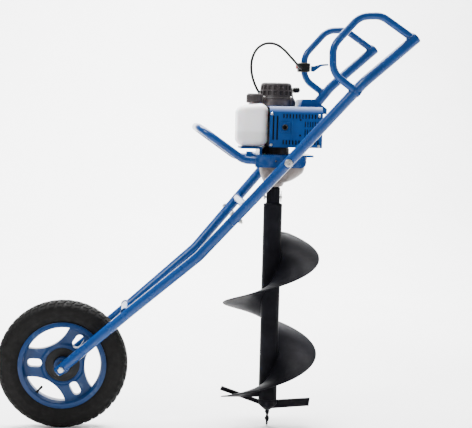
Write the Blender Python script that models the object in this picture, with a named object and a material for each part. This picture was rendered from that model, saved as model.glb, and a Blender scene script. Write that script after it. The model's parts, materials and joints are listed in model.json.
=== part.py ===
"""Petrol earth auger carried on a one-wheel push frame.

Lengths are in metres.  X runs from the wheel towards the handles, Y from the
operator's left to the right, Z up.  Shapes are laid out from the auger's own
axis (X = 0, Y = 0) with the ground at Z = 0, and put_on_stage() moves each
finished object by STAGE_X so the machine stands centred on the world's origin.
"""
import math

import bmesh
import bpy
from mathutils import Matrix, Vector

# ---------------------------------------------------------------- placement
STAGE_X = 0.24125
GAP = 0.0003

# ---------------------------------------------------------------- wheel
WHEEL_X = -0.662
WHEEL_R = 0.206
TYRE_HALF = 0.034
RIM_R = 0.139
RIM_HALF = 0.030
WINDOW_R = 0.1195
SPOKE_ANGLES = (57.0, 177.0, 297.0)
AXLE_R = 0.006

# ---------------------------------------------------------------- push frame
ARM_R = 0.016
ARM_BORE = 0.0138
SPIGOT_R = 0.0134
SPIGOT_LENGTH = 0.045
ARM_FOOT = (-0.676, 0.066, 0.194)
ARM_STRAIGHT_END = (-0.460, 0.066, 0.381)
ARM_BEND = (-0.242, 0.103, 0.570)
ARM_JOINT = (-0.146, 0.133, 0.681)
PIVOT_X = 0.017
PIVOT_Z = 0.869
PIVOT = (PIVOT_X, 0.183, PIVOT_Z)
ARM_HANDLE_BEND = (0.223, 0.250, 1.112)
ARM_TIP = (0.374, 0.257, 1.246)
ARM_BEND_R = 0.120
LOOP_R = 0.011
LOOP_BORE = 0.009
LOOP_Y = 0.252
LOOP_CORNERS = (
    (0.214, 1.078), (0.131, 1.137), (0.128, 1.215),
    (0.205, 1.303), (0.268, 1.307), (0.376, 1.236),
)
LOOP_BEND_R = 0.060
LOWER_CROSS = (-0.466, 0.386)
UPPER_CROSS = (-0.103, 0.733)
CROSS_R = 0.0125
CROSS_BORE = 0.0105

# ---------------------------------------------------------------- carriage
RAIL_OUT = 0.1475
RAIL_IN = 0.1195
RAIL_Z0 = 0.852
RAIL_Z1 = 0.890
RAIL_X0 = -0.075
RAIL_X1 = 0.079
RAIL_WALL = 0.0016
GUARD_R = 0.012
GUARD_BORE = 0.010
PLATE_Z0 = 0.8843
PLATE_Z1 = 0.8903

# ---------------------------------------------------------------- gear train
MODULE = 0.0016
CRANK_TEETH = 10
LAY_WHEEL_TEETH = 50
LAY_PINION_TEETH = 12
OUTPUT_TEETH = 48
LAY_X = MODULE * (CRANK_TEETH + LAY_WHEEL_TEETH) / 2
CASE_Z0 = 0.785
CASE_Z1 = 0.872
COVER_Z1 = 0.884

# ---------------------------------------------------------------- engine
ENGINE_Z0 = 0.9133
ENGINE_Z1 = 1.037
BORE_Z = 0.975
SHROUD_X0 = -0.033
SHROUD_X1 = 0.131
SHROUD_Y0 = -0.120
SHROUD_Y1 = 0.048
SHEET = 0.0025
FAN_R = 0.062
FAN_Z0 = 1.0373
FAN_Z1 = 1.060
STARTER_TOP = 1.113
CORD_Y = 0.0265
CAP_X = -0.0745
CAP_Y = -0.0520
CORD_Z = 1.092

# ---------------------------------------------------------------- auger bit
BIT_TOP = 0.730
BIT_R = 0.030
BIT_BORE = 0.027
BIT_FOOT = 0.0905
COUPLER_R = 0.022
SHAFT_R = 0.010
FLIGHT_R = 0.154
FLIGHT_PITCH = 0.312
FLIGHT_Z = 0.562
FLIGHT_START = math.radians(78.0)
FLIGHT_END = math.radians(-540.0)
FLIGHT_THICK = 0.004
PIN_Z = 0.750

COLOURS = {
    "blue_paint": ((0.012, 0.085, 0.365, 1.0), 0.34, 0.0),
    "rim_paint": ((0.014, 0.060, 0.215, 1.0), 0.42, 0.0),
    "blue_plastic": ((0.014, 0.110, 0.440, 1.0), 0.40, 0.0),
    "tyre_rubber": ((0.018, 0.018, 0.018, 1.0), 0.85, 0.0),
    "zinc_steel": ((0.620, 0.620, 0.610, 1.0), 0.32, 1.0),
    "dark_steel": ((0.060, 0.060, 0.062, 1.0), 0.45, 1.0),
    "black_enamel": ((0.014, 0.014, 0.018, 1.0), 0.38, 0.0),
    "cast_aluminium": ((0.230, 0.215, 0.215, 1.0), 0.52, 1.0),
    "grey_plastic": ((0.075, 0.068, 0.070, 1.0), 0.50, 0.0),
    "tank_plastic": ((0.700, 0.690, 0.710, 1.0), 0.42, 0.0),
    "black_plastic": ((0.016, 0.016, 0.017, 1.0), 0.48, 0.0),
    "red_plastic": ((0.480, 0.020, 0.018, 1.0), 0.40, 0.0),
    "cable_rubber": ((0.012, 0.012, 0.013, 1.0), 0.55, 0.0),
}


# ================================================================ helpers
def clear_scene():
    """Remove every object so the script always starts from nothing."""
    for obj in list(bpy.data.objects):
        bpy.data.objects.remove(obj, do_unlink=True)


def material(name):
    """Principled material of the given name, made once."""
    found = bpy.data.materials.get(name)
    if found:
        return found
    colour, roughness, metallic = COLOURS[name]
    made = bpy.data.materials.new(name)
    made.use_nodes = True
    shader = made.node_tree.nodes["Principled BSDF"]
    shader.inputs["Base Color"].default_value = colour
    shader.inputs["Roughness"].default_value = roughness
    shader.inputs["Metallic"].default_value = metallic
    return made


def to_object(name, bm, finish, smooth=False):
    """Turn a bmesh into a linked object with outward normals."""
    bmesh.ops.recalc_face_normals(bm, faces=bm.faces[:])
    mesh = bpy.data.meshes.new(name)
    bm.to_mesh(mesh)
    bm.free()
    obj = bpy.data.objects.new(name, mesh)
    bpy.context.collection.objects.link(obj)
    mesh.materials.append(material(finish))
    if smooth:
        shade_smooth(obj)
    return obj


def shade_smooth(obj, limit=35.0):
    """Smooth the round faces and keep edges sharper than the limit."""
    mesh = obj.data
    mesh.shade_smooth()
    bm = bmesh.new()
    bm.from_mesh(mesh)
    for edge in bm.edges:
        if len(edge.link_faces) == 2:
            edge.smooth = edge.calc_face_angle(0.0) < math.radians(limit)
    bm.to_mesh(mesh)
    bm.free()


def apply_boolean(obj, tool, operation):
    """Apply one exact boolean and drop the tool object."""
    tool.hide_render = True
    tool.display_type = 'WIRE'
    modifier = obj.modifiers.new("shape", 'BOOLEAN')
    modifier.operation = operation
    modifier.solver = 'EXACT'
    modifier.object = tool
    bpy.context.view_layer.update()
    graph = bpy.context.evaluated_depsgraph_get()
    mesh = bpy.data.meshes.new_from_object(obj.evaluated_get(graph))
    obj.modifiers.clear()
    obj.data = mesh
    mesh.name = obj.name
    bpy.data.objects.remove(tool, do_unlink=True)
    while len(mesh.materials) > 1:
        mesh.materials.pop()
    bm = bmesh.new()
    bm.from_mesh(mesh)
    bmesh.ops.remove_doubles(bm, verts=bm.verts[:], dist=2e-6)
    bmesh.ops.dissolve_degenerate(bm, edges=bm.edges[:], dist=1e-6)
    bmesh.ops.triangulate(bm, faces=[f for f in bm.faces if len(f.verts) > 4])
    bm.to_mesh(mesh)
    bm.free()
    return obj


def cut(obj, *tools):
    """Take each tool's volume away from the object."""
    for tool in tools:
        apply_boolean(obj, tool, 'DIFFERENCE')
    return obj


def weld(obj, *tools):
    """Fuse each tool's volume into the object."""
    for tool in tools:
        apply_boolean(obj, tool, 'UNION')
    return obj


def rounded_path(corners, bend_radius, arc_step=math.radians(18.0)):
    """Points of a centreline whose inner corners are rounded to arcs."""
    points = [Vector(corner) for corner in corners]
    route = [points[0]]
    for before, corner, after in zip(points, points[1:], points[2:]):
        d0 = (corner - before).normalized()
        d1 = (after - corner).normalized()
        turn = d0.angle(d1)
        if turn < 1e-4:
            route.append(corner)
            continue
        reach = bend_radius * math.tan(turn / 2)
        normal = (d1 - d0 * d0.dot(d1)).normalized()
        centre = corner - d0 * reach + normal * bend_radius
        count = max(2, math.ceil(turn / arc_step))
        for i in range(count + 1):
            angle = turn * i / count
            offset = d0 * math.sin(angle) - normal * math.cos(angle)
            route.append(centre + offset * bend_radius)
    route.append(points[-1])
    return route


def path_frames(route):
    """Distance, place and two side directions at every route point."""
    frames = []
    travelled = 0.0
    side = None
    for i, point in enumerate(route):
        before = route[max(i - 1, 0)]
        after = route[min(i + 1, len(route) - 1)]
        tangent = (after - before).normalized()
        if side is None:
            side = tangent.cross(Vector((0.0, 1.0, 0.0)))
            if side.length < 0.1:
                side = tangent.cross(Vector((0.0, 0.0, 1.0)))
        side = (side - tangent * side.dot(tangent)).normalized()
        if i:
            travelled += (point - route[i - 1]).length
        frames.append((travelled, point, side, tangent.cross(side)))
    return frames


def frame_at(frames, distance):
    """Frame at a distance along the route, kept straight past its ends."""
    for first, second in zip(frames, frames[1:]):
        if distance <= second[0] or second is frames[-1]:
            share = (distance - first[0]) / (second[0] - first[0])
            place = first[1].lerp(second[1], share)
            blend = min(max(share, 0.0), 1.0)
            side = first[2].lerp(second[2], blend).normalized()
            up = first[3].lerp(second[3], blend).normalized()
            return place, side, up
    raise ValueError("route has no length")


def swept(name, route, outline, finish, sides=12, closed=False):
    """Sweep circles along a route.

    outline lists (distance, radius) stations.  Between two stations the
    route's own points are followed.  closed joins the last station to the
    first, which makes an open-ended pipe.
    """
    frames = path_frames(route)
    stations = [outline[0]]
    hops = list(zip(outline, outline[1:]))
    for (s0, r0), (s1, r1) in hops:
        between = [f[0] for f in frames if min(s0, s1) + 1e-5 < f[0] < max(s0, s1) - 1e-5]
        if s1 < s0:
            between.reverse()
        for s in between:
            stations.append((s, r0 + (r1 - r0) * (s - s0) / (s1 - s0)))
        stations.append((s1, r1))
    if closed:
        s0, r0 = stations[-1]
        s1, r1 = stations[0]
        inner = [f[0] for f in frames if min(s0, s1) + 1e-5 < f[0] < max(s0, s1) - 1e-5]
        if s1 < s0:
            inner.reverse()
        stations.extend((s, r0 + (r1 - r0) * (s - s0) / (s1 - s0)) for s in inner)
    bm = bmesh.new()
    rings = []
    for distance, radius in stations:
        place, side, up = frame_at(frames, distance)
        if radius < 1e-6:
            rings.append([bm.verts.new(place)])
            continue
        ring = []
        for k in range(sides):
            angle = 2 * math.pi * k / sides
            ring.append(bm.verts.new(place + (side * math.cos(angle) + up * math.sin(angle)) * radius))
        rings.append(ring)
    bridge_rings(bm, rings, closed)
    return to_object(name, bm, finish, smooth=True)


def bridge_rings(bm, rings, closed):
    """Join neighbouring rings of vertices with faces, capping open ends."""
    pairs = list(zip(rings, rings[1:]))
    if closed:
        pairs.append((rings[-1], rings[0]))
    for first, second in pairs:
        count = max(len(first), len(second))
        for k in range(count):
            nxt = (k + 1) % count
            if len(first) == 1:
                bm.faces.new((first[0], second[nxt], second[k]))
            elif len(second) == 1:
                bm.faces.new((first[k], first[nxt], second[0]))
            else:
                bm.faces.new((first[k], first[nxt], second[nxt], second[k]))
    if not closed:
        for end in (rings[0], rings[-1]):
            if len(end) > 2:
                bm.faces.new(end)


def lathe(name, profile, finish, axis='Z', centre=(0.0, 0.0, 0.0), sides=32, closed=None,
          ripple=None):
    """Revolve (radius, height) points about an axis through the centre.

    A profile that never meets the axis closes on itself.  ripple, a function
    of the angle, scales the radius of the points listed with a third value.
    """
    if closed is None:
        closed = profile[0][0] > 1e-6 and profile[-1][0] > 1e-6
    turn = {'Z': Matrix.Identity(3),
            'Y': Matrix(((1, 0, 0), (0, 0, 1), (0, 1, 0))),
            'X': Matrix(((0, 0, 1), (1, 0, 0), (0, 1, 0)))}[axis]
    bm = bmesh.new()
    rings = []
    for point in profile:
        radius, height = point[0], point[1]
        if radius < 1e-6:
            rings.append([bm.verts.new(turn @ Vector((0.0, 0.0, height)))])
            continue
        ring = []
        for k in range(sides):
            angle = 2 * math.pi * k / sides
            scaled = radius + (ripple(angle) if ripple and len(point) > 2 else 0.0)
            local = Vector((scaled * math.cos(angle), scaled * math.sin(angle), height))
            ring.append(bm.verts.new(turn @ local))
        rings.append(ring)
    bridge_rings(bm, rings, closed)
    bmesh.ops.translate(bm, verts=bm.verts[:], vec=Vector(centre))
    return to_object(name, bm, finish, smooth=True)


def cylinder(name, radius, start, end, finish="zinc_steel", sides=20):
    """Straight solid bar from start to end."""
    length = (Vector(end) - Vector(start)).length
    outline = ((0.0, 0.0), (0.0, radius), (length, radius), (length, 0.0))
    return swept(name, [Vector(start), Vector(end)], outline, finish, sides)


def washer_ring(name, inner, outer, start, end, finish, sides=24):
    """Straight ring or spacer from start to end."""
    length = (Vector(end) - Vector(start)).length
    outline = ((0.0, inner), (0.0, outer), (length, outer), (length, inner))
    return swept(name, [Vector(start), Vector(end)], outline, finish, sides, closed=True)


def prism(name, outline, low, high, finish, axis='Z'):
    """Extrude a flat outline along an axis.

    The outline is in XY for Z, XZ for Y and YZ for X.
    """
    place = {'Z': lambda a, b, h: (a, b, h),
             'Y': lambda a, b, h: (a, h, b),
             'X': lambda a, b, h: (h, a, b)}[axis]
    bm = bmesh.new()
    floor = [bm.verts.new(place(a, b, low)) for a, b in outline]
    roof = [bm.verts.new(place(a, b, high)) for a, b in outline]
    bm.faces.new(floor)
    bm.faces.new(roof)
    for k in range(len(outline)):
        nxt = (k + 1) % len(outline)
        bm.faces.new((floor[k], floor[nxt], roof[nxt], roof[k]))
    return to_object(name, bm, finish)


def block(name, low, high, finish="zinc_steel", bevel=0.0, segments=2):
    """Box between two corners, with optional rounded edges."""
    bm = bmesh.new()
    bmesh.ops.create_cube(bm, size=1.0)
    size = [h - l for l, h in zip(low, high)]
    middle = [(h + l) / 2 for l, h in zip(low, high)]
    bmesh.ops.scale(bm, verts=bm.verts[:], vec=size)
    bmesh.ops.translate(bm, verts=bm.verts[:], vec=middle)
    if bevel:
        bmesh.ops.bevel(bm, geom=bm.edges[:], offset=bevel, segments=segments, profile=0.5,
                        affect='EDGES')
    return to_object(name, bm, finish, smooth=bevel > 0.0)


def arc_points(cx, cy, radius, start, end, count):
    """Points along an arc, angles in degrees."""
    points = []
    for i in range(count + 1):
        angle = math.radians(start + (end - start) * i / count)
        points.append((cx + radius * math.cos(angle), cy + radius * math.sin(angle)))
    return points


def hull_outline(x0, r0, x1, r1, half_count=10):
    """Outline of two circles on the X axis wrapped by their tangents."""
    tilt = math.degrees(math.asin(max(-1.0, min(1.0, (r0 - r1) / (x1 - x0))))) if x1 > x0 else 0.0
    right = arc_points(x1, 0.0, r1, -90.0 + tilt, 90.0 - tilt, half_count)
    left = arc_points(x0, 0.0, r0, 90.0 - tilt, 270.0 + tilt, half_count)
    return right + left


def loft(name, sections, finish, closed=False):
    """Skin equal-length XY outlines stacked as (z, outline)."""
    bm = bmesh.new()
    rings = []
    for z, outline in sections:
        rings.append([bm.verts.new((x, y, z)) for x, y in outline])
    bridge_rings(bm, rings, closed)
    return to_object(name, bm, finish, smooth=True)


def hexagon(name, flats, start, end, finish="zinc_steel"):
    """Hexagonal head or nut between two points."""
    return cylinder(name, flats / math.sqrt(3.0), start, end, finish, sides=6)


def bolt(name, shank, flats, head, start, end, nut_height, finish="zinc_steel"):
    """Hex bolt gripping from start to end, with its nut done up at the end."""
    a, b = Vector(start), Vector(end)
    d = (b - a).normalized()
    reach = (b - a).length + nut_height + 0.004
    outline = ((0.0, 0.0), (0.0, shank), (reach - 0.001, shank), (reach, shank - 0.001), (reach, 0.0))
    body = swept(name, [a - d * 0.001, a + d * reach], outline, finish, sides=16)
    weld(body, hexagon("head", flats, a - d * head, a, finish))
    weld(body, hexagon("nut", flats, b, b + d * nut_height, finish))
    return body


def mirrored(corner, side):
    """The corner on the wanted side, side being -1 or +1."""
    x, y, z = corner
    return (x, y * side, z)


SIDES = (("left", -1.0), ("right", 1.0))


# ================================================================ wheel
def make_tyre():
    """Hollow tyre, open at its beads."""
    outer = [(0.1405, -0.0225), (0.150, -0.0295), (0.171, -0.0340), (0.194, -0.0295),
             (0.2035, -0.017), (WHEEL_R, 0.0)]
    inner = [(0.1405, -0.0165), (0.154, -0.0225), (0.183, -0.0262), (0.1965, 0.0)]
    profile = outer + [(r, -h) for r, h in outer[-2::-1]]
    profile += [(r, -h) for r, h in inner[:-1]] + inner[::-1]
    return lathe("tyre", profile, "tyre_rubber", 'Y', (WHEEL_X, 0, WHEEL_R), sides=40)


def window_outline(direction):
    """Lens between two spokes: rim arc outside, bulging arc towards the hub."""
    half = 37.0
    outside = arc_points(0.0, 0.0, WINDOW_R, direction - half, direction + half, 6)
    chord = WINDOW_R * math.sin(math.radians(half))
    depth = WINDOW_R * math.cos(math.radians(half)) - 0.069
    bulge = (chord * chord + depth * depth) / (2 * depth)
    away = 0.069 + bulge
    d = math.radians(direction)
    spread = math.degrees(math.asin(chord / bulge))
    inside = arc_points(away * math.cos(d), away * math.sin(d), bulge,
                        direction + 180.0 - spread, direction + 180.0 + spread, 6)
    return outside + inside[1:-1]


def slot_outline(direction, radius, length, width):
    """Rounded slot lying along a spoke."""
    d = math.radians(direction)
    along = Vector((math.cos(d), math.sin(d)))
    half = (length - width) / 2
    far = along * (radius + half)
    near = along * (radius - half)
    points = arc_points(far.x, far.y, width / 2, direction - 90, direction + 90, 4)
    points += arc_points(near.x, near.y, width / 2, direction + 90, direction + 270, 4)
    return points


def make_rim():
    """Cast rim with three double spokes."""
    half = [(0.0153, 0.0315), (0.026, 0.0315), (0.026, 0.006), (0.0545, 0.006), (0.0545, 0.016),
            (0.0640, 0.016), (0.0650, 0.009), (0.1215, 0.009), (0.1235, RIM_HALF),
            (RIM_R, RIM_HALF), (RIM_R, 0.0248), (0.129, 0.0200)]
    profile = half + [(r, -h) for r, h in reversed(half)]
    rim = lathe("wheel_rim", profile, "rim_paint", 'Y', (WHEEL_X, 0, WHEEL_R), sides=32)
    for angle in SPOKE_ANGLES:
        shapes = (window_outline(angle + 60.0), slot_outline(angle, 0.088, 0.046, 0.027))
        for shape in shapes:
            placed = [(x + WHEEL_X, z + WHEEL_R) for x, z in shape]
            cut(rim, prism("window", placed, -0.02, 0.02, "rim_paint", 'Y'))
    shade_smooth(rim)
    return rim


def make_wheel():
    """Tyre, rim, bearings, hub covers and valve, all turning together."""
    parts = [make_tyre(), make_rim()]
    for label, side in SIDES:
        inner, outer = 0.0205 * side, 0.0305 * side
        parts.append(washer_ring("wheel_bearing_" + label, AXLE_R + GAP, 0.015,
                                 (WHEEL_X, inner, WHEEL_R), (WHEEL_X, outer, WHEEL_R), "dark_steel"))
        parts.append(washer_ring("hub_cover_" + label, 0.0265, 0.0530,
                                 (WHEEL_X, 0.0063 * side, WHEEL_R), (WHEEL_X, 0.0125 * side, WHEEL_R),
                                 "black_plastic", sides=32))
    d = math.radians(228.0)
    out = Vector((math.cos(d), 0.0, math.sin(d)))
    hub = Vector((WHEEL_X, -0.014, WHEEL_R))
    parts.append(cylinder("valve_stem", 0.0038, hub + out * 0.1195, hub + out * 0.096,
                          "black_plastic", sides=12))
    return parts


def make_axle():
    """Axle bolt with its nut done up."""
    seat = 0.079 + GAP
    return bolt("axle_bolt", AXLE_R, 0.018, 0.0075, (WHEEL_X, -seat, WHEEL_R),
                (WHEEL_X, seat, WHEEL_R), 0.0100)


# ================================================================ push frame
def lower_route(side):
    """Centreline of a lower arm, up to its joint."""
    corners = [mirrored(c, side) for c in (ARM_FOOT, ARM_STRAIGHT_END, ARM_BEND, ARM_JOINT)]
    return rounded_path(corners, ARM_BEND_R)


def upper_route(side):
    """Centreline of an upper arm, from its joint to the tip."""
    corners = [mirrored(c, side) for c in (ARM_JOINT, PIVOT, ARM_HANDLE_BEND, ARM_TIP)]
    return rounded_path(corners, ARM_BEND_R)


def arm_cutter(side, route):
    """Solid arm a little oversize, for shaping the ends that meet it."""
    length = path_frames(route)[-1][0]
    outline = ((0.0, 0.0), (0.0, ARM_R + GAP), (length, ARM_R + GAP), (length, 0.0))
    return swept("cutter", route, outline, "blue_paint")


def stepped_cutter(place, side, seat, bore, stops):
    """Bore along Y with a flat seat at each side of the arm."""
    x, z = place
    start = Vector((x, stops[0] * side, z))
    end = Vector((x, stops[3] * side, z))
    s1, s2, s3 = (stop - stops[0] for stop in stops[1:])
    outline = ((0.0, 0.0), (0.0, seat), (s1, seat), (s1, bore), (s2, bore), (s2, seat),
               (s3, seat), (s3, 0.0))
    return swept("cutter", [start, end], outline, "zinc_steel", sides=16)


def joint_direction(side):
    """Direction of the arm where its two halves meet."""
    return (Vector(mirrored(PIVOT, side)) - Vector(mirrored(ARM_JOINT, side))).normalized()


def sleeve_bolt_line(side):
    """Centre and direction of the bolt through the joint of an arm."""
    along = joint_direction(side)
    centre = Vector(mirrored(ARM_JOINT, side)) + along * 0.022
    across = along.cross(Vector((0.0, 1.0, 0.0))).normalized()
    if across.z < 0:
        across.negate()
    return centre, across


def make_lower_arm(label, side):
    """Lower arm: closed foot at the axle, spigot at the joint."""
    route = lower_route(side)
    route.append(route[-1] + joint_direction(side) * (SPIGOT_LENGTH + 0.002))
    total = path_frames(route)[-1][0]
    joint = total - SPIGOT_LENGTH - 0.002
    end = joint + SPIGOT_LENGTH
    outline = ((0.0, 0.0), (0.0, 0.012), (0.003, ARM_R), (joint, ARM_R), (joint, SPIGOT_R),
               (end, SPIGOT_R), (end, 0.011), (joint - 0.006, 0.011), (joint - 0.010, ARM_BORE),
               (0.036, ARM_BORE), (0.036, 0.0))
    arm = swept("lower_arm_" + label, route, outline, "blue_paint")
    cut(arm, stepped_cutter((WHEEL_X, WHEEL_R), side, 0.0125, AXLE_R + GAP,
                            (0.040, 0.052, 0.079, 0.100)))
    weld(arm, washer_ring("bush", 0.0085, 0.0110, (WHEEL_X, 0.0318 * side, WHEEL_R),
                          (WHEEL_X, 0.0530 * side, WHEEL_R), "blue_paint"))
    centre, across = sleeve_bolt_line(side)
    cut(arm, cylinder("bolt_bore", 0.0043, centre - across * 0.03, centre + across * 0.03, sides=12))
    shade_smooth(arm)
    return arm


def make_upper_arm(label, side):
    """Upper arm: open pipe with a solid stretch around the pivot."""
    route = upper_route(side)
    length = path_frames(route)[-1][0]
    pivot = (Vector(PIVOT) - Vector(ARM_JOINT)).length
    outline = ((pivot - 0.018, 0.0), (pivot - 0.018, ARM_BORE), (0.0003, ARM_BORE),
               (0.0003, ARM_R), (length, ARM_R), (length, ARM_BORE), (pivot + 0.018, ARM_BORE),
               (pivot + 0.018, 0.0))
    arm = swept("upper_arm_" + label, route, outline, "blue_paint")
    cut(arm, stepped_cutter((PIVOT_X, PIVOT_Z), side, 0.0135, 0.0063,
                            (0.140, 0.170, 0.1945, 0.220)))
    centre, across = sleeve_bolt_line(side)
    cut(arm, cylinder("bolt_bore", 0.0043, centre - across * 0.03, centre + across * 0.03, sides=12))
    shade_smooth(arm)
    return arm


def make_loop(label, side):
    """Hand loop welded on an upper arm at both of its ends."""
    ys = [0.2475, LOOP_Y, LOOP_Y, LOOP_Y, LOOP_Y, 0.2565]
    corners = [(x, y * side, z) for (x, z), y in zip(LOOP_CORNERS, ys)]
    route = rounded_path(corners, LOOP_BEND_R)
    length = path_frames(route)[-1][0]
    outline = ((0.0, LOOP_R), (length, LOOP_R), (length, LOOP_BORE), (0.0, LOOP_BORE))
    loop = swept("handle_loop_" + label, route, outline, "blue_paint", sides=10, closed=True)
    cut(loop, arm_cutter(side, upper_route(side)))
    keep_largest(loop)
    shade_smooth(loop)
    return loop


def keep_largest(obj):
    """Drop the slivers that a through-cut leaves beyond the kept piece."""
    bm = bmesh.new()
    bm.from_mesh(obj.data)
    left = set(bm.verts)
    groups = []
    while left:
        group = set()
        queue = [left.pop()]
        while queue:
            vert = queue.pop()
            group.add(vert)
            for edge in vert.link_edges:
                other = edge.other_vert(vert)
                if other in left:
                    left.remove(other)
                    queue.append(other)
        groups.append(group)
    groups.sort(key=len)
    for group in groups[:-1]:
        bmesh.ops.delete(bm, geom=list(group), context='VERTS')
    bm.to_mesh(obj.data)
    bm.free()


def make_cross_tube(name, place, half_length, routes):
    """Pipe between the two arms, its ends shaped to sit on them."""
    x, z = place
    start = Vector((x, -half_length, z))
    end = Vector((x, half_length, z))
    span = half_length * 2
    outline = ((0.0, CROSS_R), (span, CROSS_R), (span, CROSS_BORE), (0.0, CROSS_BORE))
    pipe = swept(name, [start, end], outline, "blue_paint", closed=True)
    for side, route in routes:
        cut(pipe, arm_cutter(side, route))
    keep_largest(pipe)
    shade_smooth(pipe)
    return pipe


def make_sleeve_bolt(label, side):
    """Bolt and nut through the joint between the two halves of an arm."""
    centre, across = sleeve_bolt_line(side)
    reach = ARM_R + GAP
    return bolt("sleeve_bolt_" + label, 0.004, 0.013, 0.0055, centre + across * reach,
                centre - across * reach, 0.0065)


def make_pivot_bolt(label, side):
    """Pivot bolt through an arm and its rail, nut inside the rail."""
    return bolt("pivot_bolt_" + label, 0.006, 0.019, 0.0075,
                (PIVOT_X, (0.1945 + GAP) * side, PIVOT_Z), (PIVOT_X, (RAIL_IN - GAP) * side, PIVOT_Z),
                0.0095)


def make_end_plug(label, side):
    """Plastic plug closing the open top of an arm."""
    route = upper_route(side)
    tip, before = route[-1], route[-2]
    d = (tip - before).normalized()
    outline = ((0.0, 0.0), (0.0, ARM_BORE - GAP), (0.0183, ARM_BORE - GAP), (0.0183, ARM_R - 0.0005),
               (0.0205, ARM_R - 0.0015), (0.022, 0.010), (0.022, 0.0))
    return swept("end_plug_" + label, [tip - d * 0.018, tip + d * 0.004], outline, "black_plastic")


def make_frame():
    """Every fixed piece of the push frame."""
    parts = []
    for label, side in SIDES:
        parts.append(make_lower_arm(label, side))
        parts.append(make_upper_arm(label, side))
        parts.append(make_loop(label, side))
        parts.append(make_end_plug(label, side))
        parts.append(make_sleeve_bolt(label, side))
        parts.append(make_pivot_bolt(label, side))
    parts.append(make_cross_tube("lower_cross_tube", LOWER_CROSS, 0.066,
                                 [(s, lower_route(s)) for s in (-1.0, 1.0)]))
    parts.append(make_cross_tube("upper_cross_tube", UPPER_CROSS, 0.145,
                                 [(s, upper_route(s)) for s in (-1.0, 1.0)]))
    return parts


# ================================================================ carriage
def make_rail(label, side):
    """Box-section rail with a round rear end, hollow towards the front."""
    middle = (RAIL_Z0 + RAIL_Z1) / 2
    half = (RAIL_Z1 - RAIL_Z0) / 2
    outline = [(RAIL_X0, RAIL_Z0)]
    outline += arc_points(RAIL_X1 - half, middle, half, -90.0, 90.0, 10)
    outline += [(RAIL_X0, RAIL_Z1)]
    y0, y1 = sorted((RAIL_IN * side, RAIL_OUT * side))
    rail = prism("mount_rail_" + label, outline, y0, y1, "blue_paint", 'Y')
    wall = RAIL_WALL
    cut(rail, block("hollow", (RAIL_X0 - 0.01, y0 + wall, RAIL_Z0 + wall),
                    (PIVOT_X - 0.022, y1 - wall, RAIL_Z1 - wall)))
    weld(rail, cylinder("boss", 0.0120, (PIVOT_X, (RAIL_OUT - 0.004) * side, PIVOT_Z),
                        (PIVOT_X, 0.1697 * side, PIVOT_Z), "blue_paint"))
    cut(rail, cylinder("bore", 0.0063, (PIVOT_X, 0.110 * side, PIVOT_Z), (PIVOT_X, 0.180 * side, PIVOT_Z),
                       sides=16))
    cut(rail, cylinder("bore", 0.004, (-0.014, y0 - 0.01, 0.872), (-0.014, y1 + 0.01, 0.872), sides=12))
    shade_smooth(rail)
    return rail


def make_guard_bar():
    """U-shaped tube that guards the engine and enters both rails."""
    y = (RAIL_IN + RAIL_OUT) / 2
    z = (RAIL_Z0 + RAIL_Z1) / 2
    side = [(RAIL_X0 + 0.030, y, z), (-0.112, y, z + 0.002), (-0.248, y, 0.968)]
    corners = [(x, -yy, zz) for x, yy, zz in side] + side[::-1]
    route = rounded_path(corners, 0.055)
    length = path_frames(route)[-1][0]
    outline = ((0.0, GUARD_R), (length, GUARD_R), (length, GUARD_BORE), (0.0, GUARD_BORE))
    return swept("guard_bar", route, outline, "blue_paint", sides=10, closed=True)


def make_mount_plate():
    """Steel plate between the rails, with the shelf that carries the tank."""
    y = RAIL_IN - GAP
    plate = block("mount_plate", (-0.062, -y, PLATE_Z0), (0.106, y, PLATE_Z1), "blue_paint")
    weld(plate, block("leg", (-0.0605, -0.098, PLATE_Z1 - 0.003), (-0.052, 0.0, 0.9090)))
    weld(plate, block("shelf", (-0.118, -0.098, 0.9065), (-0.0505, 0.0, 0.9129)))
    return cut(plate, cylinder("bore", 0.016, (0, 0, PLATE_Z0 - 0.01), (0, 0, PLATE_Z1 + 0.01)))


def stadium(reach, r0, r1):
    """Gearbox outline: round at the output axis and at the layshaft."""
    return hull_outline(0.0, r0, reach, r1, 9)


def make_gearbox():
    """Cast case with bearing bores, and its cover."""
    lay = LAY_X
    shell = loft("gearbox_case", [
        (CASE_Z1, stadium(lay, 0.0500, 0.0540)), (0.853, stadium(lay, 0.0500, 0.0540)),
        (0.849, stadium(lay, 0.0465, 0.0505)), (0.829, stadium(lay * 0.92, 0.0450, 0.0480)),
        (0.806, stadium(lay * 0.46, 0.0360, 0.0380)), (0.800, stadium(lay * 0.12, 0.0320, 0.0320)),
        (CASE_Z0, stadium(lay * 0.02, 0.0270, 0.0270))], "cast_aluminium")
    cavity = loft("cavity", [
        (CASE_Z1 + 0.01, stadium(lay, 0.0425, 0.0445)), (0.836, stadium(lay, 0.0425, 0.0445))],
        "cast_aluminium")
    cut(shell, cavity)
    cut(shell, cylinder("bore", SHAFT_R + GAP, (0, 0, CASE_Z0 - 0.01), (0, 0, 0.85)))
    cut(shell, cylinder("pocket", 0.0063, (lay, 0, 0.830), (lay, 0, 0.86), sides=16))
    shade_smooth(shell, 30.0)
    top = loft("gearbox_cover", [(CASE_Z1 + GAP, stadium(lay, 0.0530, 0.0570)),
                                 (COVER_Z1, stadium(lay, 0.0530, 0.0570))], "cast_aluminium")
    cut(top, cylinder("bore", 0.0063, (0, 0, 0.86), (0, 0, 0.90), sides=16))
    cut(top, cylinder("pocket", 0.0063, (lay, 0, 0.86), (lay, 0, 0.880), sides=16))
    shade_smooth(top, 30.0)
    return [shell, top]


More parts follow.
